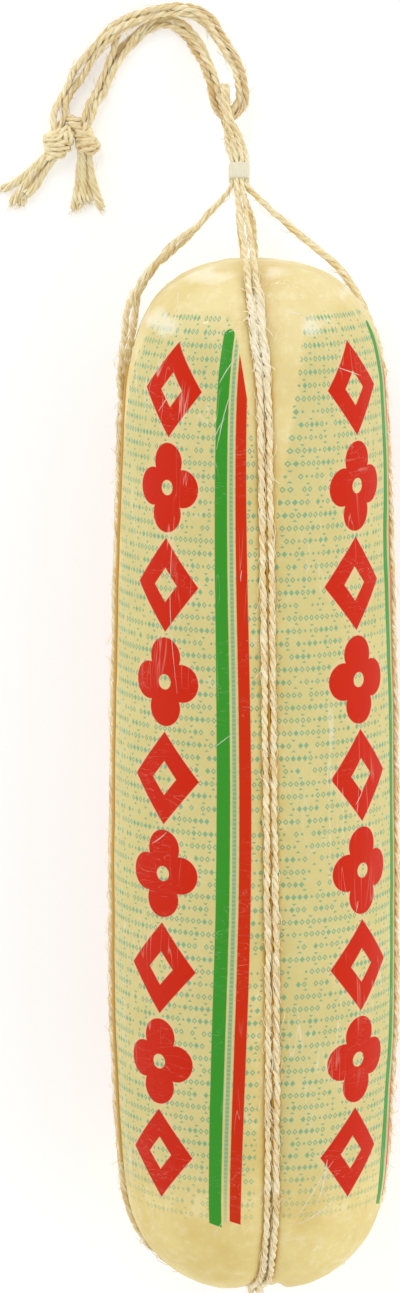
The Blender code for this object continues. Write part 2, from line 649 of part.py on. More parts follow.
def main():
    clear_scene()
    rind = material("cheese in film", (0.78, 0.66, 0.33), 0.35)
    twine = material("sisal twine", (0.75, 0.62, 0.36), 0.9)
    plastic = material("clip plastic", (0.85, 0.8, 0.66), 0.45)
    from_bmesh("cheese", skin_mesh(), rind)
    tree = skin_tree()
    for letter, offset in (("a", -PAIR_PITCH / 2), ("b", PAIR_PITCH / 2)):
        front_back_strand(tree, f"harness_front_{letter}", offset, twine)
        side_strand(tree, f"harness_side_{letter}", offset, twine)
    make_clip(plastic)
    make_bights(twine)
    make_carrying_cord(twine)
    make_knot("knot_left", LEFT_KNOT, twine)
    make_knot("knot_right", RIGHT_KNOT, twine)
    make_tail("tail_left", LEFT_TAIL, LEFT_TAIL_END, twine)
    make_tail("tail_right", RIGHT_TAIL, RIGHT_TAIL_END, twine)
    for made in bpy.data.objects:
        made.data.transform(Matrix.Translation((0.0, -MIDDLE_Y * MM, 0.0)))


main()
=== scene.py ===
# %% [markdown]
# # A long provolone in printed film and twine
# The real thing is a salami-shaped cheese of about five kilos, sealed in a clear printed
# film. Two pairs of twine run lengthwise round it and meet in a small crimped clip, from
# which a knotted cord carries it. The solids were made before this script and come in as
# the frame: every piece below is dressed on them and keeps their places. All lengths are
# written in millimetres and turned into metres where a mesh is made. The noise that makes
# things uneven gets a fixed seed, so that each run gives the same piece.

# %% The frame and its box
import math
import random

import bmesh
import bpy
import numpy as np
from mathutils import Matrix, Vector, noise
from mathutils.bvhtree import BVHTree
from mathutils.kdtree import KDTree


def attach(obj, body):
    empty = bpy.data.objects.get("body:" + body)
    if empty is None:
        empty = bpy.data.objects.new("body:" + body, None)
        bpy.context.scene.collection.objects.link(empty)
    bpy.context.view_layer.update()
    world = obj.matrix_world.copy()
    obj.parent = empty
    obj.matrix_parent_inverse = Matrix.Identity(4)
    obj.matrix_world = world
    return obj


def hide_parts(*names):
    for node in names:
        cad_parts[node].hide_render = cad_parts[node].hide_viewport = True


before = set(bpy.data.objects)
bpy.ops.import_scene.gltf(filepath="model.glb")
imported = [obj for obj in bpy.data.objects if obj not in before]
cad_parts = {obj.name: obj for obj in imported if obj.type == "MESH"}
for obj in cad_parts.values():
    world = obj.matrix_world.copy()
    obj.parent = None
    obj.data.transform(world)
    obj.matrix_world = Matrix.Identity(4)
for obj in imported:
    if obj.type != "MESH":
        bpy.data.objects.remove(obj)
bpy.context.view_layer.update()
MM = 0.001
NOISE_SEED = 3
noise.seed_set(NOISE_SEED)
print("nodes:", ", ".join(sorted(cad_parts)))

# %% [markdown]
# A colour is easiest to pick as a hex code, as a paint program shows it. Blender's shaders
# reckon with light instead of screen values, so each code is made linear first. A material
# is then a few nodes, and one small function adds any of them to the tree in hand. Its
# first word names the node, with the operation after it where there is one, as in
# "Math ADD". Values and other nodes' outputs go to the inputs in turn or by name. The
# scale of every pattern comes from the real size of its grain.

# %% Colours and nodes


def colour(code):
    """A hex screen colour as linear RGBA."""
    parts = [int(code[k:k + 2], 16) / 255 for k in (1, 3, 5)]
    return (*[c / 12.92 if c <= 0.04045 else ((c + 0.055) / 1.055) ** 2.4 for c in parts], 1.0)


def new_material(name, sockets):
    """A material with its shader's own sockets set, its node tree and its shader."""
    made = bpy.data.materials.new(name)
    made.use_nodes = True
    shader = made.node_tree.nodes["Principled BSDF"]
    for socket, value in sockets.items():
        shader.inputs[socket].default_value = value
    return made, made.node_tree, shader


def feed(socket, value):
    if isinstance(value, bpy.types.NodeSocket):
        tree.links.new(value, socket)
    else:
        socket.default_value = value


def add(kind, *feeds, out=0, **named):
    """Adds a node to the tree in hand, sets and feeds it, and returns one output."""
    kind, _, operation = kind.partition(" ")
    made = tree.nodes.new("ShaderNode" + kind)
    if operation:
        made.operation = operation
    for key, value in named.items():
        if key in made.inputs:
            feed(made.inputs[key], value)
        else:
            setattr(made, key, value)
    by_number = feeds[0].items() if feeds and isinstance(feeds[0], dict) else enumerate(feeds)
    for number, value in by_number:
        feed(made.inputs[number], value)
    return made.outputs[out]


def per(size):
    """The scale of a pattern whose grain is a size in mm."""
    return 1 / (size * MM)


def coats(ground, *layers):
    """Colours laid over a ground one by one, each by a share from 0 to 1."""
    for share, over in layers:
        ground = add("Mix", {0: share, 6: ground, 7: over}, out=2, data_type="RGBA")
    return ground


# %% [markdown]
# An operator acts on what is picked. These helpers pick one piece alone, put a new mesh
# into the scene and turn its faces outwards, which every piece below needs at some point.

# %% Picking and placing


def pick(made):
    """Selects one object alone and makes it the active one."""
    bpy.ops.object.select_all(action="DESELECT")
    made.select_set(True)
    bpy.context.view_layer.objects.active = made
    return made


def new_object(name, data):
    made = bpy.data.objects.new(name, data)
    bpy.context.collection.objects.link(made)
    return pick(made)


def new_mesh(name, points, faces, **marks):
    """A picked object with a mesh, and numbers on its points under their names."""
    data = bpy.data.meshes.new(name)
    data.from_pydata(points, [], faces)
    for mark, values in marks.items():
        data.attributes.new(mark, "FLOAT", "POINT").data.foreach_set("value", values)
    return new_object(name, data)


def face_outwards():
    bpy.ops.object.mode_set(mode="EDIT")
    bpy.ops.mesh.select_all(action="SELECT")
    bpy.ops.mesh.normals_make_consistent(inside=False)
    bpy.ops.object.mode_set(mode="OBJECT")


# %% [markdown]
# Cords need smooth lines. A few listed points say where a cord goes, and this
# helper draws an even line through them: it mixes four points in three stages, by how near
# each of them is. It never shoots past a point, because it spaces its own steps by how far
# apart the points are.

# %% Smooth lines
FINE_STEP = 0.25
STAGES = ([(0, 1), (1, 2), (2, 3)], [(0, 2), (1, 3)], [(1, 2)])


def smooth(points, step=1.0):
    """Points about one step apart on a smooth curve through the given ones."""
    pts = [np.array(p, float) for p in points]
    pts = [2 * pts[0] - pts[1]] + pts + [2 * pts[-1] - pts[-2]]
    line = []
    for a, b, c, d in zip(pts, pts[1:], pts[2:], pts[3:]):
        count = max(2, int(np.linalg.norm(c - b) / FINE_STEP))
        gaps = [math.sqrt(np.linalg.norm(q - p)) for p, q in ((a, b), (b, c), (c, d))]
        ks = np.cumsum([0.0] + gaps)
        for t in np.linspace(ks[1], ks[2], count, endpoint=False):
            mixed = [a, b, c, d]
            for spans in STAGES:
                mixed = [((ks[n] - t) * p + (t - ks[m]) * q) / (ks[n] - ks[m])
                         for (m, n), p, q in zip(spans, mixed, mixed[1:])]
            line += mixed
    line = np.array(line + [pts[-2]])
    run = run_of(line)
    places = np.linspace(0.0, run[-1], max(3, int(round(run[-1] / step)) + 1))
    return np.stack([np.interp(places, run, line[:, k]) for k in range(3)], axis=1)


def run_of(line):
    """How far along the line each of its points is."""
    return np.concatenate([[0.0], np.cumsum(np.linalg.norm(np.diff(line, axis=0), axis=1))])


def between(stations, where):
    """A smooth value through (place, value) stations that never overshoots."""
    xs = np.array([s[0] for s in stations], float)
    vs = np.array([s[1] for s in stations], float)
    where = min(max(where, xs[0]), xs[-1])
    k = min(int(np.searchsorted(xs, where, side="right")) - 1, len(xs) - 2)
    rises = np.diff(vs) / np.diff(xs)
    turns = [2 * a * b / (a + b) if a * b > 0 else 0.0 for a, b in zip(rises, rises[1:])]
    slopes = [rises[0], *turns, rises[-1]]
    width = xs[k + 1] - xs[k]
    t = (where - xs[k]) / width
    return float(
        vs[k] * (2 * t**3 - 3 * t**2 + 1)
        + vs[k + 1] * (3 * t**2 - 2 * t**3)
        + slopes[k] * width * (t**3 - 2 * t**2 + t)
        + slopes[k + 1] * width * (t**3 - t**2)
    )


def ramp(value, low, high):
    """0 below low, 1 above high, smooth between."""
    t = min(max((value - low) / (high - low), 0.0), 1.0)
    return t * t * (3 - 2 * t)


# %% [markdown]
# ## The cheese in its film
# The film is shrunk on, so cheese and film are one skin. The solid already has the true
# form with its four beds for the twine. A copy of it is merged and turned back into
# four-sided faces, its long edges are cut shorter, and it is subdivided, which is how a
# rough block becomes a smooth body without changing its size.

# %% A fine copy of the cheese
SHIFT = Vector((0.0, -0.45, 0.0))
MERGED_WITHIN = 0.01
QUAD_BEND = math.radians(50)
LONG_EDGE = 20.0
EDGE_CUTS, FINER_LEVELS = 3, 2


def copy_of(node, name):
    """A free copy of one solid, its loose faces merged."""
    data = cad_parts[node].data.copy()
    data.transform(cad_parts[node].matrix_world)
    data.materials.clear()
    made = new_object(name, data)
    bpy.ops.object.mode_set(mode="EDIT")
    bpy.ops.mesh.select_all(action="SELECT")
    bpy.ops.mesh.remove_doubles(threshold=MERGED_WITHIN * MM)
    bpy.ops.mesh.tris_convert_to_quads(face_threshold=QUAD_BEND, shape_threshold=QUAD_BEND)
    bpy.ops.mesh.select_all(action="DESELECT")
    bpy.ops.object.mode_set(mode="OBJECT")
    return made


skin = copy_of("cheese", "cheese_in_film")
corners = skin.data.vertices
bpy.context.tool_settings.mesh_select_mode = (False, True, False)
for edge in skin.data.edges:
    a, b = (corners[k].co for k in edge.vertices)
    edge.select = abs(a.y - b.y) > LONG_EDGE * MM
bpy.ops.object.mode_set(mode="EDIT")
bpy.ops.mesh.subdivide(number_cuts=EDGE_CUTS)
bpy.ops.object.mode_set(mode="OBJECT")
finer = skin.modifiers.new("finer", "SUBSURF")
finer.levels = finer.render_levels = FINER_LEVELS
bpy.ops.object.modifier_apply(modifier=finer.name)
print("skin faces:", len(skin.data.polygons))

# %% [markdown]
# A moulded and brined cheese is never quite even. Slow noise gives the body its dents, and
# faster noise gives the puckers that the film makes where it gathers under the twine at
# both ends. The dome sinks into a shallow valley under the front pair, and the film is
# tucked in beside it at the foot. All these moves go along the normals, and the flat on
# which the cheese lies stays flat.

# %% Dents and puckers
DENT = 0.35
DENT_SIZES = (34.0, 13.0)
PUCKER = 0.3
PUCKER_SIZES = (5.0, 14.0, 5.0)
TOP_PUCKERS = (150.0, 210.0)
FOOT_PUCKERS = (-245.0, -205.0)
VALLEY = {"depth": 2.6, "middle": 1.5, "width": 10.5, "above": 60.0}
VALLEY_STARTS, VALLEY_ENDS = (145.0, 190.0), (205.0, 214.0)
TUCK = {"depth": 2.2, "width": 2.4, "above": 25.0, "foot": (9.5, -254.0), "lean": 0.2}
TUCK_FADES = (-252.0, -236.0)
BED_FLAT = 0.3


def relief(place):
    """How far out the skin stands at a place, in mm."""
    slow = noise.noise(place / DENT_SIZES[0]) + 0.5 * noise.noise(place / DENT_SIZES[1])
    ends = max(ramp(place.y, *TOP_PUCKERS), 1 - ramp(place.y, *FOOT_PUCKERS))
    quick = noise.noise(Vector([p / size for p, size in zip(place, PUCKER_SIZES)]))
    moved = DENT * slow + PUCKER * ends * quick
    if place.z > VALLEY["above"]:
        near = math.exp(-(((place.x - VALLEY["middle"]) / VALLEY["width"]) ** 2))
        here = ramp(place.y, *VALLEY_STARTS) * (1 - ramp(place.y, *VALLEY_ENDS))
        moved -= VALLEY["depth"] * near * here
    if place.z > TUCK["above"]:
        middle = TUCK["foot"][0] + TUCK["lean"] * (place.y - TUCK["foot"][1])
        near = math.exp(-(((place.x - middle) / TUCK["width"]) ** 2))
        moved -= TUCK["depth"] * near * (1 - ramp(place.y, *TUCK_FADES))
    return moved


normals = [v.normal.copy() for v in skin.data.vertices]
for vert, normal in zip(skin.data.vertices, normals):
    if vert.co.z > BED_FLAT * MM:
        vert.co += normal * relief(vert.co / MM) * MM
bpy.ops.object.shade_smooth()
skin_mesh = bmesh.new()
skin_mesh.from_mesh(skin.data)
bmesh.ops.scale(skin_mesh, vec=(1 / MM, 1 / MM, 1 / MM), verts=skin_mesh.verts)
skin_tree = BVHTree.FromBMesh(skin_mesh)
skin_mesh.free()
print("skin points:", len(normals))

# %% [markdown]
# The film's print repeats four times round the body. Its pattern is a drawing on an
# unrolled sheet: one coordinate runs round the cheese, one along it, both in millimetres.
# They are reckoned from the place on the object, with the angle round the axis for the
# first. The sleeve shrank unevenly, so a slow curve pulls the print sideways, and two
# flares near the dome pull single panels further. A wrapped copy of the first coordinate
# makes four panels out of one. The sleeve is closed by a lap at the back, which stays bare.
# Shrink film is thin and lies on oily cheese, so it shines softly: a light coat over a
# duller ground.

# %% The print's coordinates
AXIS_HEIGHT = 60.5
ROLL_RADIUS = 62.0
PANEL_WIDTH = 94.0
FIRST_PANEL = -42.3
LAP_EDGE = 186.0
PULL = (0.316, 0.541, -1.929, -1.246, 0.0)
FLARES = [(6.2, 2.0, 26.0), (-5.0, -70.0, -95.0)]
FLARE_RISE = (75.0, 135.0)

film, tree, shader = new_material("printed shrink film over cheese", {
    "Roughness": 0.45, "Specular IOR Level": 0.06, "Coat Weight": 0.1, "Coat Roughness": 0.16,
})
place = add("TexCoord", out=3)
rightwards, along, upwards = (add("Math DIVIDE", add("SeparateXYZ", place, out=k), MM) for k in range(3))
height = add("Math SUBTRACT", upwards, AXIS_HEIGHT)
around = add("Math MULTIPLY", add("Math ARCTAN2", rightwards, height), ROLL_RADIUS)
decimetres = add("Math DIVIDE", along, 100.0)
pull = PULL[0]
for term in PULL[1:]:
    pull = add("Math MULTIPLY_ADD", pull, decimetres, term)
for most, *reach in FLARES:
    up_share = add("MapRange", along, *FLARE_RISE, 0.0, most, interpolation_type="SMOOTHSTEP")
    out_share = add("MapRange", around, *reach, interpolation_type="SMOOTHSTEP")
    pull = add("Math MULTIPLY_ADD", up_share, out_share, pull)
unpulled = add("Math SUBTRACT", add("Math SUBTRACT", around, FIRST_PANEL), pull)
across = add("Math WRAP", unpulled, PANEL_WIDTH / 2, -PANEL_WIDTH / 2)
print("panels round the cheese:", round(2 * math.pi * ROLL_RADIUS / PANEL_WIDTH, 1))

# %% [markdown]
# Each printed field is a mask from 0 to 1: the distance to the field's edge, divided by
# how soft that edge is. The print stops in an arch at the top, where the film was drawn
# in by the twine, and fades in its last rows at the foot.

# %% Masks and the printed field
SOFT = 0.18
PRINT_TOP = 194.5
PRINT_FOOT = -206.5
PANEL_HALF = (43.0, 46.5)
PANEL_SOFT = {"arch": 1.0, "foot": 0.6, "side": 0.6}
TINT_STARTS = {"arch": (6.0, 8.0), "foot": (16.0, 16.0), "side": (3.0, 4.0)}
ARCH_FLAT, ARCH_SPAN = 18.0, 20.0
ARCH_DROP = (64.0, 25.0)
ARCH_POWER = 3.0


def inside(distance, soft=SOFT):
    """1 where a distance in mm is positive, 0 where it is negative, soft between."""
    return add("MapRange", distance, -soft, soft)


def product(*factors):
    """Masks and numbers multiplied: two masks leave what they share."""
    made = factors[0]
    for factor in factors[1:]:
        made = add("Math MULTIPLY", made, factor)
    return made


side = add("Math GREATER_THAN", across, 0.0)
off_middle = add("Math ABSOLUTE", across)
past = add("Math MAXIMUM", add("Math SUBTRACT", off_middle, ARCH_FLAT), 0.0)
bent = add("Math POWER", add("Math DIVIDE", past, ARCH_SPAN), ARCH_POWER)
drop = product(bent, add("Math MULTIPLY_ADD", side, ARCH_DROP[1] - ARCH_DROP[0], ARCH_DROP[0]))
arch = add("Math SUBTRACT", add("Math SUBTRACT", PRINT_TOP, drop), along)
half_width = add("Math MULTIPLY_ADD", side, PANEL_HALF[1] - PANEL_HALF[0], PANEL_HALF[0])
within = {
    "arch": arch,
    "foot": add("Math SUBTRACT", along, PRINT_FOOT),
    "side": add("Math SUBTRACT", half_width, off_middle),
}
lap = inside(add("Math SUBTRACT", LAP_EDGE, add("Math ABSOLUTE", around)))
field = product(*(inside(within[edge], soft) for edge, soft in PANEL_SOFT.items()), lap)
tint = product(*(inside(add("Math SUBTRACT", within[edge], start), soft)
                 for edge, (start, soft) in TINT_STARTS.items()), lap)
print("nodes for the printed field:", len(tree.nodes))

# %% [markdown]
# Two stripes run down each panel beside its wide column: a green one that starts round and
# a red one that the arch cuts to a point.

# %% The stripes
GREEN_STRIPE = {"middle": 28.5, "half": 2.95, "top": 188.5, "foot": -208.0}
RED_STRIPE = {"middle": 37.9, "half": 2.6, "top": 250.0, "foot": -206.5}
FOOT_SLANT = 0.3
RED_SOFT = 0.4


def distance(dx, dy):
    squares = add("Math ADD", add("Math MULTIPLY", dx, dx), add("Math MULTIPLY", dy, dy))
    return add("Math SQRT", squares)


def stripe_mask(stripe):
    off = add("Math SUBTRACT", across, stripe["middle"])
    beyond = add("Math MAXIMUM", add("Math SUBTRACT", along, stripe["top"] - stripe["half"]), 0.0)
    width = inside(add("Math SUBTRACT", stripe["half"], distance(off, beyond)))
    foot = add("Math MULTIPLY_ADD", off, FOOT_SLANT, add("Math SUBTRACT", along, stripe["foot"]))
    return product(width, inside(foot), lap)


green = stripe_mask(GREEN_STRIPE)
red_stripe = product(stripe_mask(RED_STRIPE), inside(arch, RED_SOFT))
print("nodes with the stripes:", len(tree.nodes))

# %% [markdown]
# The wide column beside the stripes carries large red ornaments, one below the other:
# lozenges with a lozenge cut out of them, and four-leaved flowers with a round eye. Both
# are old stock patterns that need only absolute values and distances.

# %% The column of ornaments
COLUMN_TOP = 183.0
COLUMN_FOOT = -199.0
ORNAMENTS = 9
ORNAMENT_STEP = (COLUMN_TOP - COLUMN_FOOT) / ORNAMENTS
LOZENGE = (17.6, 20.6)
INNER_LOZENGE = (6.4, 7.5)
LEAF_RADIUS = 8.3
LEAVES = ((9.0, 0.0), (0.0, 11.2))
EYE = 3.3
HALO_REACH, HALO_SOFT = 1.6, 1.4
LOZENGE_EDGE = 0.7

below_top = add("Math SUBTRACT", COLUMN_TOP, along)
step = add("Math DIVIDE", below_top, ORNAMENT_STEP)
down = product(add("Math SUBTRACT", add("Math FRACT", step), 0.5), ORNAMENT_STEP)
wide, tall = off_middle, add("Math ABSOLUTE", down)


def lozenge(half_wide, half_tall):
    """How far inside a lozenge a place is, in mm."""
    share = add("Math ADD", add("Math DIVIDE", wide, half_wide), add("Math DIVIDE", tall, half_tall))
    return product(add("Math SUBTRACT", 1.0, share), LOZENGE_EDGE * half_wide)


def disc(right, low, radius):
    """How far inside a round leaf or eye a place is, in mm."""
    moves = add("Math SUBTRACT", wide, right), add("Math SUBTRACT", tall, low)
    return add("Math SUBTRACT", radius, distance(*moves))


cut_lozenge = add("Math MINIMUM", lozenge(*LOZENGE), product(lozenge(*INNER_LOZENGE), -1.0))
leaves = add("Math MAXIMUM", *(disc(*leaf, LEAF_RADIUS) for leaf in LEAVES))
flower = add("Math MINIMUM", leaves, product(disc(0.0, 0.0, EYE), -1.0))
odd = add("Math GREATER_THAN", add("Math MODULO", add("Math FLOOR", step), 2.0), 0.5)
ornament = add("Math ADD", product(add("Math SUBTRACT", 1.0, odd), cut_lozenge), product(odd, flower))
in_column = product(inside(below_top), inside(add("Math SUBTRACT", along, COLUMN_FOOT)))
red_column = product(inside(ornament), in_column)
halo = product(inside(add("Math ADD", ornament, HALO_REACH), HALO_SOFT), in_column)
print("ornaments in a column:", ORNAMENTS, "every", round(ORNAMENT_STEP, 1), "mm")

# %% [markdown]
# Behind the column the film is covered with rows of tiny sea-green marks. Here they are
# open lozenges, solid ones and dots in an irregular beat, with a gap now and then. A cell
# number fed to white noise decides what each cell holds, so the rows never repeat. The
# narrow gap between the two stripes holds a finer chain of the same kind. A small star
# stands between two rows every now and then.

# %% The rows of small marks
ROW_STEP = 5.58
MARK_STEP = 2.62
MARK = (1.22, 1.5)
MARK_SIZES = (0.95, 0.55, 0.42)
MARK_SOFT, LINK_SOFT = 0.16, 0.2
ROW_SHIFT, STAR_SHIFT = 1.9, 7.3
CHANCES = (0.1, 0.24, 0.5)
STAR_STEP, STAR_HALF = 19.0, 1.0
CHAIN_MIDDLE = 33.3
CHAIN_STEP = 1.9
CHAIN_HALF = 1.7
LINK_HALF = 0.85

row_place = add("Math DIVIDE", along, ROW_STEP)
row = add("Math FLOOR", row_place)


def from_middle(where, step):
    """How far a place is from the middle of its cell, in mm."""
    return add("Math ABSOLUTE", product(add("Math SUBTRACT", add("Math FRACT", where), 0.5), step))


row_off = from_middle(row_place, ROW_STEP)
cell_place = add("Math DIVIDE", add("Math MULTIPLY_ADD", row, ROW_SHIFT, unpulled), MARK_STEP)
cell_off = from_middle(cell_place, MARK_STEP)
pair = add("CombineXYZ", add("Math FLOOR", cell_place), row)
chance = add("TexWhiteNoise", pair, noise_dimensions="2D")
mark_share = add("Math ADD", *(add("Math DIVIDE", off, size) for off, size in zip((cell_off, row_off), MARK)))
solid_mark, dot_mark, hole = (
    inside(add("Math SUBTRACT", size, mark_share), MARK_SOFT) for size in MARK_SIZES
)
open_mark = add("Math SUBTRACT", solid_mark, hole)
past_gap, past_dot, past_solid = (add("Math GREATER_THAN", chance, most) for most in CHANCES)
marks = product(dot_mark, add("Math SUBTRACT", past_gap, past_dot))
marks = add("Math ADD", marks, product(solid_mark, add("Math SUBTRACT", past_dot, past_solid)))
marks = add("Math ADD", marks, product(open_mark, past_solid))
star_place = add("Math DIVIDE", add("Math MULTIPLY_ADD", row, STAR_SHIFT, unpulled), STAR_STEP)
star_up = add("Math ABSOLUTE", add("Math SUBTRACT", row_off, ROW_STEP / 2))
star_off = add("Math ADD", from_middle(star_place, STAR_STEP), star_up)
marks = add("Math MAXIMUM", marks, inside(add("Math SUBTRACT", STAR_HALF, star_off), LINK_SOFT))
chain_off = add("Math ABSOLUTE", add("Math SUBTRACT", across, CHAIN_MIDDLE))
link_off = from_middle(add("Math DIVIDE", along, CHAIN_STEP), CHAIN_STEP)
chain = inside(add("Math SUBTRACT", LINK_HALF, add("Math MAXIMUM", chain_off, link_off)), LINK_SOFT)
marks = coats(marks, (inside(add("Math SUBTRACT", CHAIN_HALF, chain_off)), chain))
stripes = add("Math MAXIMUM", green, red_stripe)
marks = product(marks, field, add("Math SUBTRACT", 1.0, stripes, use_clamp=True))
print("rows of small marks:", round((PRINT_TOP - PRINT_FOOT) / ROW_STEP))

# %% [markdown]
# The cheese shows through the film as a pale, warm yellow. It is lightest on the dome and
# more golden towards the foot, and mottled like all natural rind. Printed panels look
# duller, since the clear ink base scatters light. Beside the twine the cheese is darker and
# golden: partly oil in the beds, partly painted shade where the strands shade it. The dome's
# valley gets the same tone as painted shade. The mesh carries that share as an attribute,
# which is filled in once the twine is laid. White scuffs and creases lie on top, with
# patches of painted highlight on the shoulders.

# %% The skin's colours
DOME_PALE = colour("#e8d9a3")
DOME_DEEP = colour("#dfcb8e")
FOOT_PALE = colour("#e8d591")
FOOT_DEEP = colour("#dcc47a")
PANEL_GROUND = colour("#cec384")
HALO = colour("#e6cd9c")
TEAL = colour("#5fa686")
GREEN_INK = colour("#36922a")
RED_INK = colour("#ca2404")
# Painted shade beside the twine and in the dome's valley, with the golden tint of oil in the beds
OIL_AND_SHADE_TONE = colour("#c68f2c")
# White of scuffs and creases, and of the painted highlight patches on the shoulders
SCUFF_AND_GLARE = colour("#f6f1dc")
POWDER = colour("#f4ecc6")
SHARES = {"tint": 0.72, "halo": 0.5, "pressed": 0.8, "green": 0.99, "red": 0.98}
MOTTLE_SIZE, POWDER_SIZE = 26.3, 5.882
FOOT_TONE_FROM, FOOT_TONE_FULL = 205.0, 90.0
FADE_LENGTH, FADE = 30.0, (0.3, 0.78)

mottle = add("TexNoise", place, Scale=per(MOTTLE_SIZE), Detail=4.0, Roughness=0.6)
mottle = add("MapRange", mottle, 0.36, 0.68)
low_down = add("MapRange", along, FOOT_TONE_FROM, FOOT_TONE_FULL)
dome_tone = coats(DOME_PALE, (mottle, DOME_DEEP))
foot_tone = coats(FOOT_PALE, (mottle, FOOT_DEEP))
powder = add("TexNoise", place, Scale=per(POWDER_SIZE), Detail=3.0, Roughness=0.7)
powder = product(add("MapRange", powder, 0.5, 0.72), add("MapRange", mottle, 0.2, 0.9, 0.4, 0.1))
# Share of oil and painted shade beside the twine, filled in once the twine is laid
pressed = add("Attribute", out=2, attribute_name="pressed")
fade = add("MapRange", along, PRINT_FOOT, PRINT_FOOT + FADE_LENGTH, *FADE)
printed = coats(
    dome_tone,
    (low_down, foot_tone),
    (powder, POWDER),
    (product(tint, SHARES["tint"]), PANEL_GROUND),
    (product(halo, SHARES["halo"]), HALO),
    (add("Math MULTIPLY", pressed, SHARES["pressed"], use_clamp=True), OIL_AND_SHADE_TONE),
    (product(marks, fade), TEAL),
    (product(green, SHARES["green"]), GREEN_INK),
    (product(red_stripe, SHARES["red"]), RED_INK),
    (red_column, RED_INK),
)
print("nodes with the colours:", len(tree.nodes))

# %% [markdown]
# Film creases are long, thin and slightly curved. Noise that is folded at its middle
# value gives such lines, and stretching its coordinates lays them along the cheese. A slow
# noise keeps them in patches. A second, finer set slants over the print as the dull
# scratches that handling leaves. On the shoulders a few ragged, whitish patches of painted
# highlight stand for the film's glare, on the upper half only; their places are listed.

# %% Creases, painted glare and bump
CREASES = {
    "turned": 0.12, "sizes": (9.09, 111.1, 9.09), "width": 0.014, "edges": (0.5, 0.64), "patch": 45.5,
}
SCRATCHES = {
    "turned": -0.7, "sizes": (16.67, 3.846, 16.67), "width": 0.009, "edges": (0.5, 0.62), "patch": 29.4,
}
CREASE_SHARE, SCRATCH_SHARE = 0.34, 0.16
# Painted highlight: ragged whitish patches where the film glares on the shoulders
PAINTED_GLARE_PATCHES = [
    ((-40.5, 189.5), (10.0, 6.5), 0.55), ((24.0, 189.5), (6.0, 6.0), 0.5),
    ((-22.0, 208.5), (15.0, 3.4), 0.5), ((7.5, 210.0), (8.0, 2.8), 0.45),
    ((41.0, 201.0), (6.0, 3.4), 0.45),
]
RAGGED, RAGGED_SOFT, RAGGED_SIZE = 1.8, 0.6, 9.09
FINE_SIZE, WAVE_SIZE = 3.333, 13.33
RISES = {"fine": 0.25, "waves": 0.9, "creases": 0.6}


def folded_lines(turned, sizes, width, edges, patch):
    """Thin curved lines in patches, as a mask, with sizes in mm."""
    scales = [per(size) for size in sizes]
    stretched = add("Mapping", place, Rotation=(0.0, 0.0, turned), Scale=scales)
    bent = add("TexNoise", stretched, Scale=1.0, Detail=2.0, Distortion=1.0)
    line = add("MapRange", add("Math ABSOLUTE", add("Math SUBTRACT", bent, 0.5)), 0.0, width, 1.0, 0.0)
    spots = add("TexNoise", place, Scale=per(patch), Detail=1.0)
    return product(line, add("MapRange", spots, *edges))


scuffs_and_glare = add("Math MAXIMUM", product(folded_lines(**CREASES), CREASE_SHARE),
               product(folded_lines(**SCRATCHES), SCRATCH_SHARE))
ragged = add("TexNoise", place, Scale=per(RAGGED_SIZE), Detail=3.0, Roughness=0.65)
shown_side = add("Math GREATER_THAN", height, 0.0)
# The painted highlight patches are laid on the upper half only
for middle, half, share in PAINTED_GLARE_PATCHES:
    moves = [add("Math DIVIDE", add("Math SUBTRACT", at, mid), size)
             for at, mid, size in zip((rightwards, along), middle, half)]
    torn = add("Math MULTIPLY_ADD", ragged, RAGGED, distance(*moves))
    patch = add("MapRange", torn, RAGGED, RAGGED - RAGGED_SOFT, 0.0, share)
    scuffs_and_glare = add("Math MAXIMUM", scuffs_and_glare, product(patch, shown_side))
feed(shader.inputs["Base Color"], coats(printed, (scuffs_and_glare, SCUFF_AND_GLARE)))
fine = add("TexNoise", place, Scale=per(FINE_SIZE), Detail=3.0, Roughness=0.6)
waves = add("TexNoise", place, Scale=per(WAVE_SIZE), Detail=2.0, Distortion=0.8)
rise = add("Math ADD", product(fine, RISES["fine"]), product(waves, RISES["waves"]))
rise = add("Math ADD", rise, product(scuffs_and_glare, RISES["creases"]))
feed(shader.inputs["Normal"], add("Bump", Strength=0.45, Distance=0.0006, Height=rise))
skin.data.materials.append(film)
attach(skin, "root")
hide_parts("cheese")
print("nodes in the film's material:", len(tree.nodes))

# %% [markdown]
# ## Twine
# The cords are sisal: two plies twisted to the left, each a bundle of stiff pale fibres,
# with golden painted shade where they meet. The twist decides the look of twine, so each strand
# is a real pair of plies that wind round its line. A small sweep function lays rings of
# points along the line; no operator can do that for a free path with a changing width.

# %% A strand of two plies
PITCH = 9.5
PLY_SIDES = 8
WANDER, WANDER_SIZE = 1.6, 13.0
LUMPS, LUMP_SIZE = 0.28, 5.0
DRIFT, DRIFT_SIZE = 0.16, 8.0
ROUGH, ROUGH_SIZE = 0.16, 1.6
FRAY_FROM = 0.45
CHAFE_STARTS, CHAFE_ENDS, CHAFED_ABOVE = (146.0, 184.0), (205.0, 213.0), 90.0


def carried_frames(line):
    """Two directions across the line at each point, turning as little as possible."""
    ahead = np.gradient(line, axis=0)
    ahead /= np.linalg.norm(ahead, axis=1)[:, None]
    first = np.cross(ahead[0], [0.0, 0.0, 1.0])
    if np.linalg.norm(first) < 0.2:
        first = np.cross(ahead[0], [1.0, 0.0, 0.0])
    across_line = [first / np.linalg.norm(first)]
    for t in ahead[1:]:
        n = across_line[-1] - t * np.dot(across_line[-1], t)
        across_line.append(n / np.linalg.norm(n))
    across_line = np.array(across_line)
    return ahead, across_line, np.cross(ahead, across_line)


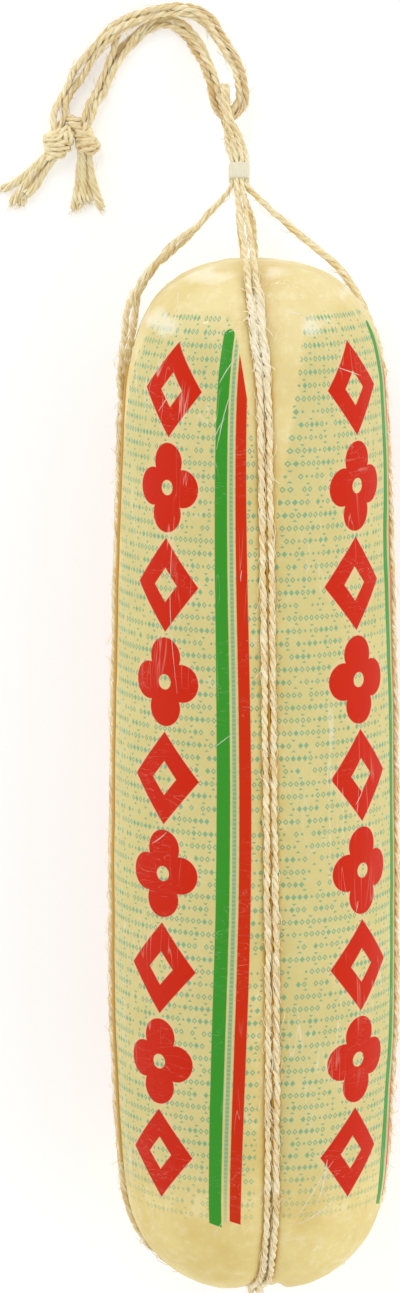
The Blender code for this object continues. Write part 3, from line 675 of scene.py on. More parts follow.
def twist(line, widths, seed, pitch=PITCH, plies=2, spread=0.18, thick=0.32, fray=0.0, shade_share=0.0):
    """Rings of points of each ply, as (points, uv, hollow) per ply, in mm.

    Odd multiples of the seed keep the strands apart in the noise that makes them uneven.
    """
    ahead, one, two = carried_frames(line)
    run = run_of(line)
    made = []
    for ply in range(plies):
        phase = seed * 1.7 + ply * 2 * math.pi / plies
        points, uvs, hollows = [], [], []
        for k, centre in enumerate(line):
            wobble = WANDER * noise.noise(Vector((run[k] / WANDER_SIZE, seed * 3.1, 5.3)))
            angle = -2 * math.pi * run[k] / pitch + phase + wobble
            out = math.cos(angle) * one[k] + math.sin(angle) * two[k]
            apart = 1 + fray * max(0.0, run[k] / run[-1] - FRAY_FROM) * 3
            lumpy = 1 + LUMPS * noise.noise(Vector((run[k] / LUMP_SIZE, seed * 7.7, ply * 2.9)))
            drift = DRIFT * noise.noise(Vector((run[k] / DRIFT_SIZE, seed * 1.3, 8.8))) * widths[k]
            middle = centre + out * spread * widths[k] * apart + one[k] * drift
            beside = np.cross(ahead[k], out)
            for j in range(PLY_SIDES):
                a = math.pi + 2 * math.pi * j / PLY_SIDES
                way = math.cos(a) * out + math.sin(a) * beside
                spot = Vector((j * 1.7, run[k] / ROUGH_SIZE, seed * 2.3 + ply))
                rough = 1 + ROUGH * noise.noise(spot)
                points.append(middle + way * thick * widths[k] * lumpy * rough)
                uvs.append((j / PLY_SIDES, run[k]))
                # Painted shade: the inner side of each ply, plus the strand's own share of painted shade
                hollows.append(max(0.0, -math.cos(a)) ** 1.5 + shade_share)
        made.append((points, uvs, hollows))
    return made


def worn(x, y, z):
    """How much the front pair is chafed at a place, from 0 to 1."""
    return ramp(y, *CHAFE_STARTS) * (1 - ramp(y, *CHAFE_ENDS)) if z > CHAFED_ABOVE else 0.0


def strand_mesh(name, bundles):
    """One mesh of all plies of one or more strands, with its own UV map."""
    points, faces, uvs, hollows = [], [], [], []
    sides = PLY_SIDES
    for ring_points, ring_uvs, ring_hollows in bundles:
        base = len(points)
        points += [tuple(p * MM) for p in ring_points]
        hollows += ring_hollows
        rings = len(ring_points) // sides
        for k in range(rings - 1):
            for j in range(sides):
                n = (j + 1) % sides
                low, high = base + k * sides, base + (k + 1) * sides
                faces.append((low + j, low + n, high + n, high + j))
                u = j / sides
                v, w = ring_uvs[k * sides][1], ring_uvs[(k + 1) * sides][1]
                uvs += [(u, v), (u + 1 / sides, v), (u + 1 / sides, w), (u, w)]
        for k, order in ((0, -1), (rings - 1, 1)):
            faces.append(tuple(base + k * sides + j for j in range(sides))[::order])
            uvs += [(j / sides, ring_uvs[k * sides][1]) for j in range(sides)]
    chafing = [worn(*(c / MM for c in p)) for p in points]
    made = new_mesh(name, points, faces, hollow=hollows, worn=chafing)
    layer = made.data.uv_layers.new(name="ply")
    layer.data.foreach_set("uv", np.array(uvs, float).ravel())
    face_outwards()
    bpy.ops.object.shade_smooth()
    return made


# %% [markdown]
# Up close a ply is a sheaf of fibres. Noise that is squeezed across the ply and drawn out
# along it makes them, both as fine colour streaks and as bump; how many streaks go round a
# ply and how long they are in mm is given as a pair. The inner side of each ply, where the
# plies meet, is painted darker and golden as painted shade, and a strand or knot that lies in
# shade gets a further share of it. Sisal is dry and hairy, so it is rough, hardly shines and
# has a little sheen.

# %% The twine's finish
TWINE_PALE = colour("#fff8d6")
TWINE_MID = colour("#e4c478")
# Golden painted shade where the plies meet
TWINE_PLY_SHADE = colour("#c48f34")
CHALKY = colour("#fffdf2")
AGED = colour("#efd899")
STREAKS, FINE_STREAKS = (7.0, 6.25), (22.0, 2.5)
AGED_LENGTH = 11.1

twine, tree, shader = new_material("sisal twine", {
    "Roughness": 0.8, "Specular IOR Level": 0.25, "Sheen Weight": 0.15,
})
ply_place = add("UVMap", uv_map="ply")
fibre_place = add("Mapping", ply_place, Scale=(STREAKS[0], 1 / STREAKS[1], 1.0))
fibres = add("TexNoise", fibre_place, Scale=1.0, Detail=3.0, Roughness=0.6)
streak = add("MapRange", fibres, 0.4, 0.66)
fine_place = add("Mapping", ply_place, Scale=(FINE_STREAKS[0], 1 / FINE_STREAKS[1], 1.0))
fine_fibres = add("TexNoise", fine_place, Scale=1.0, Detail=2.0)
hollow = add("Attribute", out=2, attribute_name="hollow")
patches = add("TexNoise", ply_place, Scale=1 / AGED_LENGTH, Detail=1.0)
patches = add("MapRange", patches, 0.45, 0.7, 0.0, 0.7)
chafed = add("Attribute", out=2, attribute_name="worn")
feed(shader.inputs["Base Color"], coats(
    TWINE_PALE,
    (patches, AGED),
    (product(streak, 0.7), TWINE_MID),
    (add("Math MULTIPLY", hollow, 0.8, use_clamp=True), TWINE_PLY_SHADE),
    (add("Math MULTIPLY", chafed, 0.6, use_clamp=True), CHALKY),
))
sheaf = add("Math ADD", fibres, product(fine_fibres, 0.6))
feed(shader.inputs["Normal"], add("Bump", Strength=0.8, Distance=0.0005, Height=sheaf))
print("nodes in the twine's material:", len(tree.nodes))

# %% [markdown]
# ### The harness
# Two loops of doubled twine hold the cheese, one over its shown side and its back, one
# over its two flanks, and they cross under the foot. Each strand is laid on the skin: a
# ray goes out from the axis, and the strand's line keeps its own half thickness over the
# place where the ray comes out.

# %% Where the strands run
FOOT_POLE, FOOT_EQUATOR, TOP_EQUATOR, TOP_POLE = -252.6, -186.2, 143.8, 213.8
BODY_RADII = [(-256.0, 60.6), (-186.0, 61.8), (-120.0, 63.9), (-50.0, 63.5), (20.0, 62.5),
              (85.0, 61.0), (130.0, 59.6), (214.0, 57.4)]
FLAT_CUT = 1.9
FRONT_LINE = [(-252, 0.6), (-236, 5.6), (-200, 7.6), (-150, 7.8), (50, 5.6), (140, 4.2),
              (176, 3.2), (200, 0.4), (214, 0.0)]
BACK_LINE = [(-252, 0.6), (-200, -1.0), (0, -2.0), (214, -1.6)]
LEFT_LINE = [(-252, 0.0), (-225, 8.5), (-170, 7.0), (-60, 2.0), (120, 0.5), (214, 0.0)]
RIGHT_LINE = [(-252, 0.0), (-200, -3.0), (-60, -2.0), (60, -3.0), (145, -9.0), (214, -17.0)]
LEFT_OUTER_FREE = [(-24.4, 228.8, 49.5), (-34.7, 221.9, 51.5), (-40.3, 215.2, 53.0),
                   (-46.2, 209.4, 55.0), (-51.0, 202.7, 57.0), (-54.8, 195.8, 58.5),
                   (-56.6, 187.0, 59.2), (-57.9, 176.2, 58.8), (-59.3, 163.0, 58.9)]
LEFT_INNER_FREE = [(-24.0, 228.6, 46.2), (-30.4, 221.7, 47.6), (-38.5, 214.9, 49.4),
                   (-43.6, 210.0, 50.8), (-48.4, 203.6, 52.4), (-51.4, 197.6, 53.8)]
RIGHT_FREE = [(2.8, 238.6, 43.6), (14.4, 228.2, 43.4), (25.2, 219.2, 43.0), (35.8, 210.3, 42.6),
              (41.0, 204.2, 42.4), (45.6, 196.6, 42.4), (49.6, 188.4, 42.8)]
BACK_BULGE = (-0.4, 226.0, 26.5)
TWINE_THICK = 2.85
PAIR_HALF = 1.65
FRONT_HALF = 1.8
SEAT = 0.1
CROSSING_LIFT = 3.45
CROSSING_REACH = (5.5, 17.0)
SIDE_SLACK = 0.9
SIDE_LIFTS = (0.25, 0.45)
LIFT_STARTS = (-176.0, -140.0)
CHAFED = 0.22
POLE_STEP = 4


def axis_height(y):
    return between(BODY_RADII, y) - FLAT_CUT


def on_skin(start, direction, lift):
    """A strand's place over the skin, with its sideways place kept."""
    direction = Vector(direction).normalized()
    hit, normal, _, _ = skin_tree.ray_cast(Vector(start) + SHIFT, direction)
    normal = normal if normal.dot(direction) > 0 else -normal
    for k in (0, 2):
        if abs(direction[k]) < 1e-6:
            normal[k] = 0.0
    normal.normalize()
    return hit - SHIFT + normal * (lift + TWINE_THICK / 2 + SEAT), normal


# %% [markdown]
# All eight strand ends of the harness go into the clip side by side. The clip's own axis
# slopes down to the carrying cord, so its frame gives each strand a place on its face,
# and a strand is squeezed thinner as it comes near.

# %% The clip's faces
CLIP_MIDDLE = Vector((-6.8, 250.7, 42.0))
CLIP_SLOPE = math.radians(30.0)
CLIP_LENGTH = 7.5
CLIP_ALONG = Vector((0.0, math.cos(CLIP_SLOPE), -math.sin(CLIP_SLOPE)))
CLIP_UP = Vector((0.0, math.sin(CLIP_SLOPE), math.cos(CLIP_SLOPE)))
RING_FRONT = [(-1.15, 2.3), (1.15, 2.3)]
RING_BACK = [(-1.15, -2.3), (1.15, -2.3)]
RING_LEFT = [(-3.15, -1.15), (-3.15, 1.15)]
RING_RIGHT = [(3.15, -1.15), (3.15, 1.15)]
CLIP_REACH = (-0.8, 1.9)
SQUEEZED = 2.1
SPREAD = 52.0


def clip_end(spot, facing):
    """Two points of a strand at the clip, from inside it to outside."""
    seat = CLIP_MIDDLE + Vector((spot[0], 0.0, 0.0)) + CLIP_UP * spot[1]
    return [seat + CLIP_ALONG * facing * (CLIP_LENGTH / 2 + d) for d in CLIP_REACH]


def narrowing(line, full, reach):
    """Widths along a strand that is squeezed at both ends."""
    run = run_of(line)
    share = np.clip(np.minimum(run, run[-1] - run) / reach, 0.0, 1.0)
    return SQUEEZED + (full - SQUEEZED) * share


# %% [markdown]
# Each pair is one route of places on the skin, which the smooth line then joins. The front
# pair goes over the dome, down the shown side, round the foot and up the back. The side
# pair hangs free as far as the shoulders, where its places are listed, and goes down
# one flank and up the other. The front pair is rubbed thicker and whiter near the dome.

# %% The four harness strands


def front_route(which):
    offset = (-FRONT_HALF, FRONT_HALF)[which]
    front_end, back_end = clip_end(RING_FRONT[which], -1), clip_end(RING_BACK[which], -1)

    def over_dome(bed, end, face):
        points = []
        for degrees in range(0, 90, POLE_STEP):
            angle = math.radians(degrees)
            y = TOP_EQUATOR + (TOP_POLE - TOP_EQUATOR) * math.sin(angle)
            start = (between(bed, y) + offset, TOP_EQUATOR, axis_height(TOP_EQUATOR))
            spot, normal = on_skin(start, (0.0, math.sin(angle), face * math.cos(angle)), 0.0)
            if (end - spot).dot(normal) > 0:
                break
            points.append(spot)
        return points

    def down_side(bed, ys, face):
        starts = [(between(bed, y) + offset, y, axis_height(y)) for y in ys]
        return [on_skin(start, (0, 0, face), 0.0)[0] for start in starts]

    ys = np.linspace(TOP_EQUATOR - 12, FOOT_EQUATOR + 10, 24)
    route = front_end + over_dome(FRONT_LINE, front_end[1], 1.0)[::-1] + down_side(FRONT_LINE, ys, 1)
    for degrees in range(0, 181, POLE_STEP):
        angle = math.radians(degrees)
        bed = FRONT_LINE if degrees <= 90 else BACK_LINE
        y = FOOT_EQUATOR + (FOOT_POLE - FOOT_EQUATOR) * math.sin(angle)
        reach = abs(math.cos(angle)) * between(BODY_RADII, y)
        lift = CROSSING_LIFT * (1 - ramp(reach, *CROSSING_REACH))
        start = (between(bed, y) + offset, FOOT_EQUATOR, axis_height(FOOT_EQUATOR))
        route.append(on_skin(start, (0, -math.sin(angle), math.cos(angle)), lift)[0])
    route += down_side(BACK_LINE, ys[::-1], -1) + over_dome(BACK_LINE, back_end[1], -1.0)
    if which:
        route.append(Vector(BACK_BULGE))
    return route + back_end[::-1]


def side_route(which):
    offset = (-PAIR_HALF, PAIR_HALF)[which]
    route = clip_end(RING_LEFT[which], -1)
    route += [Vector(p) for p in (LEFT_INNER_FREE, LEFT_OUTER_FREE)[which]]

    def along_flank(bed, ys, face, lift, slack_from):
        for y in ys:
            start = (0.0, y, axis_height(y) + between(bed, y) + offset)
            off = lift * ramp(y, *LIFT_STARTS) + SIDE_SLACK * ramp(y, *slack_from)
            route.append(on_skin(start, (face, 0, 0), off)[0])

    left_ys = np.linspace(TOP_EQUATOR + (36, 6)[which], FOOT_EQUATOR + 10, 26)
    along_flank(LEFT_LINE, left_ys, -1, SIDE_LIFTS[0], (85.0, 140.0))
    for degrees in range(0, 181, POLE_STEP):
        angle = math.radians(degrees)
        bed = LEFT_LINE if degrees <= 90 else RIGHT_LINE
        y = FOOT_EQUATOR + (FOOT_POLE - FOOT_EQUATOR) * math.sin(angle)
        start = (0.0, FOOT_EQUATOR, axis_height(FOOT_EQUATOR) + between(bed, y) + offset)
        route.append(on_skin(start, (-math.cos(angle), -math.sin(angle), 0.0), 0.0)[0])
    right_ys = np.linspace(FOOT_EQUATOR + 10, TOP_EQUATOR + 34, 28)
    along_flank(RIGHT_LINE, right_ys, 1, SIDE_LIFTS[1], (130.0, 175.0))
    route += [Vector(p) + Vector((0.0, 0.0, offset)) for p in reversed(RIGHT_FREE)]
    return route + clip_end(RING_RIGHT[which], -1)[::-1]


shown_lines = []


def lay_strand(name, node, line, widths, seed, shade_share=0.0):
    """A twisted strand on a line, standing for one solid."""
    line = line + np.array(SHIFT)
    made = strand_mesh(name, twist(line, widths, seed, shade_share=shade_share))
    made.data.materials.append(twine)
    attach(made, "root")
    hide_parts(node)
    shown_lines.append((line, widths))
    return made


for which, letter in enumerate("ab"):
    for seed, (kind, route) in enumerate((("front", front_route(which)), ("side", side_route(which)))):
        line = smooth(route, 0.9)
        rubbed = 1 + CHAFED * np.array([worn(*p) for p in line])
        widths = narrowing(line, TWINE_THICK, SPREAD) * rubbed
        lay_strand(f"twine_{kind}_{letter}", f"harness_{kind}_{letter}", line, widths, 1 + seed * 2 + which)
print("harness strands:", [round(run_of(l)[-1]) for l, _ in shown_lines], "mm")

# %% [markdown]
# The skin now learns where twine lies near it. A tree of the strands' points gives the
# distance to the nearest one, and the share that it makes is the attribute that the
# skin's material reads: oil and painted shade beside the strands. The dome's valley under
# the front pair adds a share of painted shade.

# %% Oil and painted shade where the twine presses
OIL_AND_SHADE_REACH = (1.5, 3.1)
# Painted shade in the dome's valley beside the front pair
VALLEY_SHADE = 0.3
VALLEY_SHADE_WIDTH = 9.0
VALLEY_SHADE_STARTS = (176.0, 196.0)

twine_points = [p for line, _ in shown_lines for p in line[::2]]
nearby = KDTree(len(twine_points))
for k, spot in enumerate(twine_points):
    nearby.insert(spot, k)
nearby.balance()


def oil_and_shade_share(spot):
    """How much oily tint and painted shade the skin has at a place, from 0 to 1."""
    valley = 0.0
    if spot.z > VALLEY["above"]:
        near = math.exp(-(((spot.x - VALLEY["middle"]) / VALLEY_SHADE_WIDTH) ** 2))
        valley = near * ramp(spot.y, *VALLEY_SHADE_STARTS)
    return max(1 - ramp(nearby.find(spot)[2], *OIL_AND_SHADE_REACH), VALLEY_SHADE * valley)


shares = [oil_and_shade_share(v.co / MM) for v in skin.data.vertices]
skin.data.attributes.new("pressed", "FLOAT", "POINT").data.foreach_set("value", shares)
print("skin points under twine:", sum(share > 0.5 for share in shares))

# %% [markdown]
# Film that bridges from the cheese to a strand leaves a small ridge beside it. Its golden
# colour is partly the oil that gathers under it and partly painted shade: the dark line where
# skin and strand meet. It shows along both side pairs and between the strands of the front
# one. Each is a round curve laid half into the skin.

# %% Golden ridges of oil and painted shade
LEFT, RIGHT, UP = (-1, 0, 0), (1, 0, 0), (0, 0, 1)
RIDGES = {
    "left": (1.3, -1.5, LEFT, LEFT_LINE, PAIR_HALF + 4.4, (168.0, -190.0, 120)),
    "right": (0.7, -1.1, RIGHT, RIGHT_LINE, PAIR_HALF + 2.0, (120.0, -180.0, 100)),
    "front": (0.8, -0.75, UP, FRONT_LINE, 0.0, (150.0, -190.0, 120)),
}
# Golden colour: oil and painted shade beside the strands
golden, tree, shader = new_material("golden film ridge", {
    "Base Color": colour("#c4922c"), "Roughness": 0.4,
})


def ridge_curve(name, half, lift, way, bed, above, reach):
    """A round curve along one bed of twine, half sunk into the skin."""
    curve = bpy.data.curves.new(name, "CURVE")
    curve.dimensions = "3D"
    curve.bevel_depth = half * MM
    curve.bevel_resolution = 1
    curve.use_fill_caps = True
    spline = curve.splines.new("POLY")
    spline.points.add(reach[2] - 1)
    for point, y in zip(spline.points, np.linspace(*reach)):
        over = between(bed, y)
        start = (over, y, axis_height(y)) if way == UP else (0.0, y, axis_height(y) + over + above)
        point.co = (*((on_skin(start, way, lift)[0] + SHIFT) * MM), 1.0)
    return new_object(name, curve)


for name, sizes in RIDGES.items():
    made = ridge_curve(f"oil_and_shade_ridge_{name}", *sizes)
    bpy.ops.object.convert(target="MESH")
    bpy.ops.object.shade_smooth()
    made.data.materials.append(golden)
    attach(made, "root")
    print(made.name, "faces:", len(made.data.polygons))

# %% [markdown]
# ### Folds in the film
# Where shrink film doubles up it leaves narrow whitish welts that stand on the surface.
# Each is a thin tapered strip, laid on the skin along a line of the unrolled sheet, with
# its middle raised. The first ones are listed, the rest are strewn with a fixed seed.
# Doubled film is glossier and milkier than a single layer, and lets the print show through.

# %% Welts of film
FILM_RISE = 0.22
SET_FOLDS = [
    ((-17.5, 180.0), (-8.5, 186.0), 0.5), ((-19.5, 158.5), (-10.0, 171.0), 0.55),
    ((-19.0, 137.5), (-12.0, 158.5), 0.5), ((-20.5, 142.0), (-15.0, 149.0), 0.4),
    ((-72.0, -178.0), (-68.0, -193.5), 1.3), ((-65.0, -180.0), (-60.0, -190.0), 1.0),
    ((17.5, -201.5), (37.5, -180.0), 0.5), ((17.5, -201.5), (43.0, -192.0), 0.45),
    ((30.0, -195.0), (34.0, -179.0), 0.9), ((45.0, 164.0), (61.0, 160.0), 0.4),
    ((-68.0, 107.0), (-65.5, 64.0), 0.35), ((-40.0, 107.0), (-36.0, 30.0), 0.3),
    ((-67.0, 205.0), (-56.0, 192.0), 1.4), ((18.0, 197.0), (31.0, 189.0), 1.2),
    ((-4.0, 55.0), (6.5, 48.0), 0.4),
]
STREWN_FOLDS = 52
STREWN_AROUND, STREWN_ALONG = (-190, 190), (-232, 196)
STREWN_TURNED, STREWN_LENGTH, STREWN_WIDTH = (0.6, 0.3), (4, 15), (0.25, 0.5)
WELT_STEP, WELT_TIP, WELT_EDGE, WELT_BOW = 2.0, 0.04, 0.02, 0.06
DOME_STEEP = 1.6


def sheet_spot(around_mm, along_mm, lift):
    """The place over the skin that belongs to a place on the unrolled sheet."""
    turned = around_mm / ROLL_RADIUS
    ahead_of = min(max(along_mm, FOOT_EQUATOR), TOP_EQUATOR)
    beyond = along_mm - ahead_of
    way = Vector((math.sin(turned), beyond / ROLL_RADIUS * DOME_STEEP, math.cos(turned))).normalized()
    hit, normal, _, _ = skin_tree.ray_cast(Vector((0.0, ahead_of, AXIS_HEIGHT)), way)
    normal = normal if normal.dot(way) > 0 else -normal
    return hit + normal * lift, normal


def welt(begin, end, width):
    """Three rows of points along a line on the sheet: edge, raised middle, edge."""
    begin, end = np.array(begin), np.array(end)
    length = np.linalg.norm(end - begin)
    sideways = np.array([-(end - begin)[1], (end - begin)[0]]) / length
    bow = dice.uniform(-WELT_BOW, WELT_BOW) * length
    rows = []
    for share in np.linspace(0.0, 1.0, max(5, int(length / WELT_STEP))):
        spot = begin + (end - begin) * share + sideways * bow * math.sin(math.pi * share)
        half = width * 0.5 * math.sin(math.pi * min(max(share, WELT_TIP), 1 - WELT_TIP)) ** 0.6
        edges = ((-half, WELT_EDGE), (0.0, FILM_RISE * min(1.0, half)), (half, WELT_EDGE))
        rows.append([sheet_spot(*(spot + sideways * off), lift)[0] for off, lift in edges])
    return rows


DICE_SEED = 11
dice = random.Random(DICE_SEED)
folds = list(SET_FOLDS)
for _ in range(STREWN_FOLDS):
    begin = (dice.uniform(*STREWN_AROUND), dice.uniform(*STREWN_ALONG))
    turned = dice.gauss(*STREWN_TURNED)
    length = dice.uniform(*STREWN_LENGTH)
    end = (begin[0] + length * math.sin(turned), begin[1] + length * math.cos(turned))
    folds.append((begin, end, dice.uniform(*STREWN_WIDTH)))
points, faces = [], []
for fold in folds:
    for k, row_points in enumerate(welt(*fold)):
        if k:
            low = len(points)
            faces += [(low - 3, low - 2, low + 1, low), (low - 2, low - 1, low + 2, low + 1)]
        points += [tuple(p * MM) for p in row_points]
welts = new_mesh("film_folds", points, faces)
bpy.ops.object.shade_smooth()
doubled, tree, shader = new_material("doubled film", {
    "Base Color": colour("#fbf6e4"), "Roughness": 0.25, "Alpha": 0.5,
})
welts.data.materials.append(doubled)
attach(welts, "root")
print("film folds:", len(folds))

# %% [markdown]
# The dome carries small pale grains of curd that the brine raised. They are low round
# bumps in little groups, sunk half into the skin.

# %% Grains on the dome
GRAIN_GROUPS = [(-31.8, 203.7, 88.0), (-14.3, 207.7, 84.0), (11.3, 208.0, 84.0),
                (29.3, 203.9, 88.0), (-24.0, 196.0, 104.0)]
STREWN_GROUPS = 9
GRAIN_HEIGHT = 0.3
GRAIN_SCATTER = 1.1
GRAIN_HALF = (0.45, 0.95)
GROUP_REACH = (16.0, 44.0)
GROUP_TOP, GROUP_FALL, GROUP_HEIGHT = 212.0, 0.16, 60.0
for _ in range(STREWN_GROUPS):
    turned = dice.uniform(0, 2 * math.pi)
    reach = dice.uniform(*GROUP_REACH)
    side_step, rise = reach * math.sin(turned), reach * math.cos(turned)
    GRAIN_GROUPS.append((side_step, GROUP_TOP - reach * GROUP_FALL, GROUP_HEIGHT + rise))
bpy.ops.object.select_all(action="DESELECT")
bpy.ops.mesh.primitive_ico_sphere_add(subdivisions=2, radius=MM)
grain = bpy.context.object
template = grain.data.copy()
bpy.data.objects.remove(grain)
grains = bmesh.new()
start = Vector((0.0, TOP_EQUATOR, AXIS_HEIGHT))
for x, y, z in GRAIN_GROUPS:
    for _ in range(dice.randrange(2, 5)):
        aim = Vector((x + dice.gauss(0, GRAIN_SCATTER), y, z + dice.gauss(0, GRAIN_SCATTER))) - start
        hit, normal, _, _ = skin_tree.ray_cast(start, aim.normalized())
        size = dice.uniform(*GRAIN_HALF)
        before = len(grains.verts)
        grains.from_mesh(template)
        grains.verts.ensure_lookup_table()
        for vert in grains.verts[before:]:
            low = vert.co - normal * vert.co.dot(normal) * (1 - GRAIN_HEIGHT)
            vert.co = low * size + hit * MM
data = bpy.data.meshes.new("dome_grains")
grains.to_mesh(data)
grains.free()
made = new_object("dome_grains", data)
bpy.ops.object.shade_smooth()
curd, tree, shader = new_material("curd grain under film", {
    "Base Color": colour("#efe1ae"), "Roughness": 0.4, "Coat Weight": 0.3, "Coat Roughness": 0.2,
})
data.materials.append(curd)
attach(made, "root")
print("groups of grains:", len(GRAIN_GROUPS))

# %% [markdown]
# ### The loops and the carrying cord
# Above the clip the same strands go on as four loops. The carrying cord is threaded
# through them and turned back, so that loops and cord hang in each other like two links.
# It has four strands that wind slowly round each other, and both of its halves end in a
# knot. The routes are the ones that the solids follow.

# %% The loops
BIGHT_THICK = 2.4
BIGHT_SPREAD = 10.0
BIGHT_RADII = (6.3, 9.6)
BIGHT_SIDE = 0.9
BIGHT_START = 1.95
BIGHT_END = Vector((-13.0, 277.6, 19.4))
BIGHT_REACH = 6.5
BIGHT_LEAN = 1.4
BIGHT_SLOPE = math.radians(22.0)
BIGHT_MIDWAY = ((1.15, 5.6), (2.7, 2.8))

ahead = Vector((0.0, math.cos(BIGHT_SLOPE), -math.sin(BIGHT_SLOPE)))
up = Vector((0.0, math.sin(BIGHT_SLOPE), math.cos(BIGHT_SLOPE)))
bight_start = CLIP_MIDDLE + CLIP_ALONG * (CLIP_LENGTH / 2 + BIGHT_START)
bight_end = BIGHT_END - ahead * BIGHT_REACH + Vector((BIGHT_LEAN, 0.0, 0.0))
chord = (bight_end - bight_start).normalized()
over_chord = Vector((0.0, -chord.z, chord.y))
outer = (RING_FRONT, RING_BACK, BIGHT_RADII[1], BIGHT_MIDWAY[0])
inner = ([RING_LEFT[1], RING_RIGHT[1]], [RING_LEFT[0], RING_RIGHT[0]], BIGHT_RADII[0], BIGHT_MIDWAY[1])
loops = []
for fronts, backs, radius, (out, high) in (outer, inner):
    for which, facing in enumerate((-1.0, 1.0)):
        beside = Vector((BIGHT_SIDE * facing, 0.0, 0.0))
        centre = (bight_start + bight_end) / 2 + Vector((out * facing, 0.0, 0.0))
        route = clip_end(fronts[which], 1) + [centre + over_chord * high, bight_end + beside + up * radius]
        for degrees in range(90, -91, -30):
            angle = math.radians(degrees)
            route.append(BIGHT_END + beside + (ahead * math.cos(angle) + up * math.sin(angle)) * radius)
        route += [bight_end + beside - up * radius, centre - over_chord * high]
        route += clip_end(backs[which], 1)[::-1]
        line = smooth(route, 0.7)
        number = len(loops) + 1
        widths = narrowing(line, BIGHT_THICK, BIGHT_SPREAD)
        made = lay_strand(f"loop_{number}", f"bight_{number}", line, widths, 10 + number)
        loops.append(made)
print("loops:", len(loops))

# %% [markdown]
# The carrying cord's two halves are one line of places: from the left knot out to the
# loops, through them, and back to the right knot. Four strands wind round that line by two
# quarter turns in each half. Two slits open between them, and one strand strays from the
# rest for a while, which is what makes a cord look used.

# %% The carrying cord's route
CORD_THICK = 2.95
CORD_TURN = 2.0
OUTER_HALF = [(-87.7, 269.1, 6.7), (-87.1, 271.9, 6.1), (-86.2, 275.8, 4.7), (-84.7, 280.2, 3.9),
              (-82.4, 284.6, 3.9), (-79.8, 289.0, 4.1), (-77.0, 293.3, 4.8), (-73.9, 297.7, 5.9),
              (-70.5, 302.2, 7.3), (-66.9, 306.5, 8.8), (-62.4, 310.7, 9.8), (-57.0, 314.4, 10.2),
              (-50.6, 317.1, 10.2), (-44.0, 319.1, 10.0), (-37.3, 320.2, 9.8), (-30.7, 320.2, 9.4),
              (-25.1, 318.6, 9.0), (-20.8, 315.5, 8.7), (-17.4, 311.5, 9.1), (-14.4, 306.9, 10.1),
              (-11.6, 302.5, 11.6), (-9.0, 298.2, 13.3), (-7.2, 293.9, 15.2), (-6.0, 289.6, 17.2),
              (-5.4, 285.2, 18.8), (-5.4, 281.0, 19.8), (-7.0, 277.4, 20.2)]
BEND = (-11.1, 274.6, 20.4)
INNER_HALF = [(-15.0, 276.8, 20.0), (-16.6, 280.6, 19.4), (-17.6, 285.2, 18.0), (-18.8, 290.0, 16.0),
              (-20.6, 294.4, 13.6), (-22.6, 298.8, 11.0), (-25.0, 303.2, 8.4), (-27.8, 307.6, 6.2),
              (-31.2, 311.2, 4.8), (-36.2, 314.0, 4.0), (-42.4, 314.4, 3.8), (-47.6, 312.6, 3.8),
              (-51.8, 309.4, 3.8), (-55.4, 305.6, 3.8), (-59.4, 300.6, 3.8), (-63.0, 295.2, 3.8),
              (-66.0, 289.4, 3.9), (-68.4, 283.8, 4.2), (-70.7, 280.0, 5.2), (-72.4, 277.5, 6.2),
              (-73.2, 274.8, 6.7)]
CORD_TURNS = ((0.24, 0.5), (0.5, 0.8))
SLITS = [(0.0, 0.035, 0.75), (0.068, 0.13, 0.6)]
STRAY = [(0.74, 0.0), (0.80, 4.0), (0.85, 5.4), (0.905, 0.8), (0.93, 0.0)]
STRAY_WAY = np.array([-0.70, 0.62, 0.35])
STRAY_STRAND = 1

line = smooth(OUTER_HALF + [BEND] + INNER_HALF, 1.0)
share_along = np.arange(len(line)) / (len(line) - 1)
bend_at = share_along[int(np.argmin(np.linalg.norm(line - np.array(BEND), axis=1)))]
heading = np.gradient(line, axis=0)
heading /= np.linalg.norm(heading, axis=1)[:, None]
level = np.cross(np.array([0.0, 0.0, 1.0]), heading)
level /= np.linalg.norm(level, axis=1)[:, None]
rise = np.cross(heading, level)
cord_lines = []
for strand in range(4):
    points = []
    for k, spot in enumerate(line):
        at = share_along[k]
        share = at / bend_at if at < bend_at else (1 - at) / (1 - bend_at)
        angle = math.pi / 2 * (0.5 + strand + sum(ramp(share, *turn) for turn in CORD_TURNS))
        apart = 1 + sum(wide * math.sin(math.pi * (at - low) / (high - low))
                        for low, high, wide in SLITS if low < at < high)
        points.append(spot + CORD_TURN * (math.cos(angle) * level[k] * apart + math.sin(angle) * rise[k]))
        if strand == STRAY_STRAND and at > STRAY[0][0]:
            points[-1] = points[-1] + STRAY_WAY * between(STRAY, at)
    cord_lines.append(np.array(points))
print("carrying cord:", [round(run_of(l)[-1]) for l in cord_lines], "mm from knot to knot")

# %% [markdown]
# ### Knots and frayed ends
# An overhand knot in four strands shows as a fist of slanting turns. A smaller copy of the
# solid is its core, and rings of the same twine lie on the core, slanted one way, with one
# or two at the side that cross them.

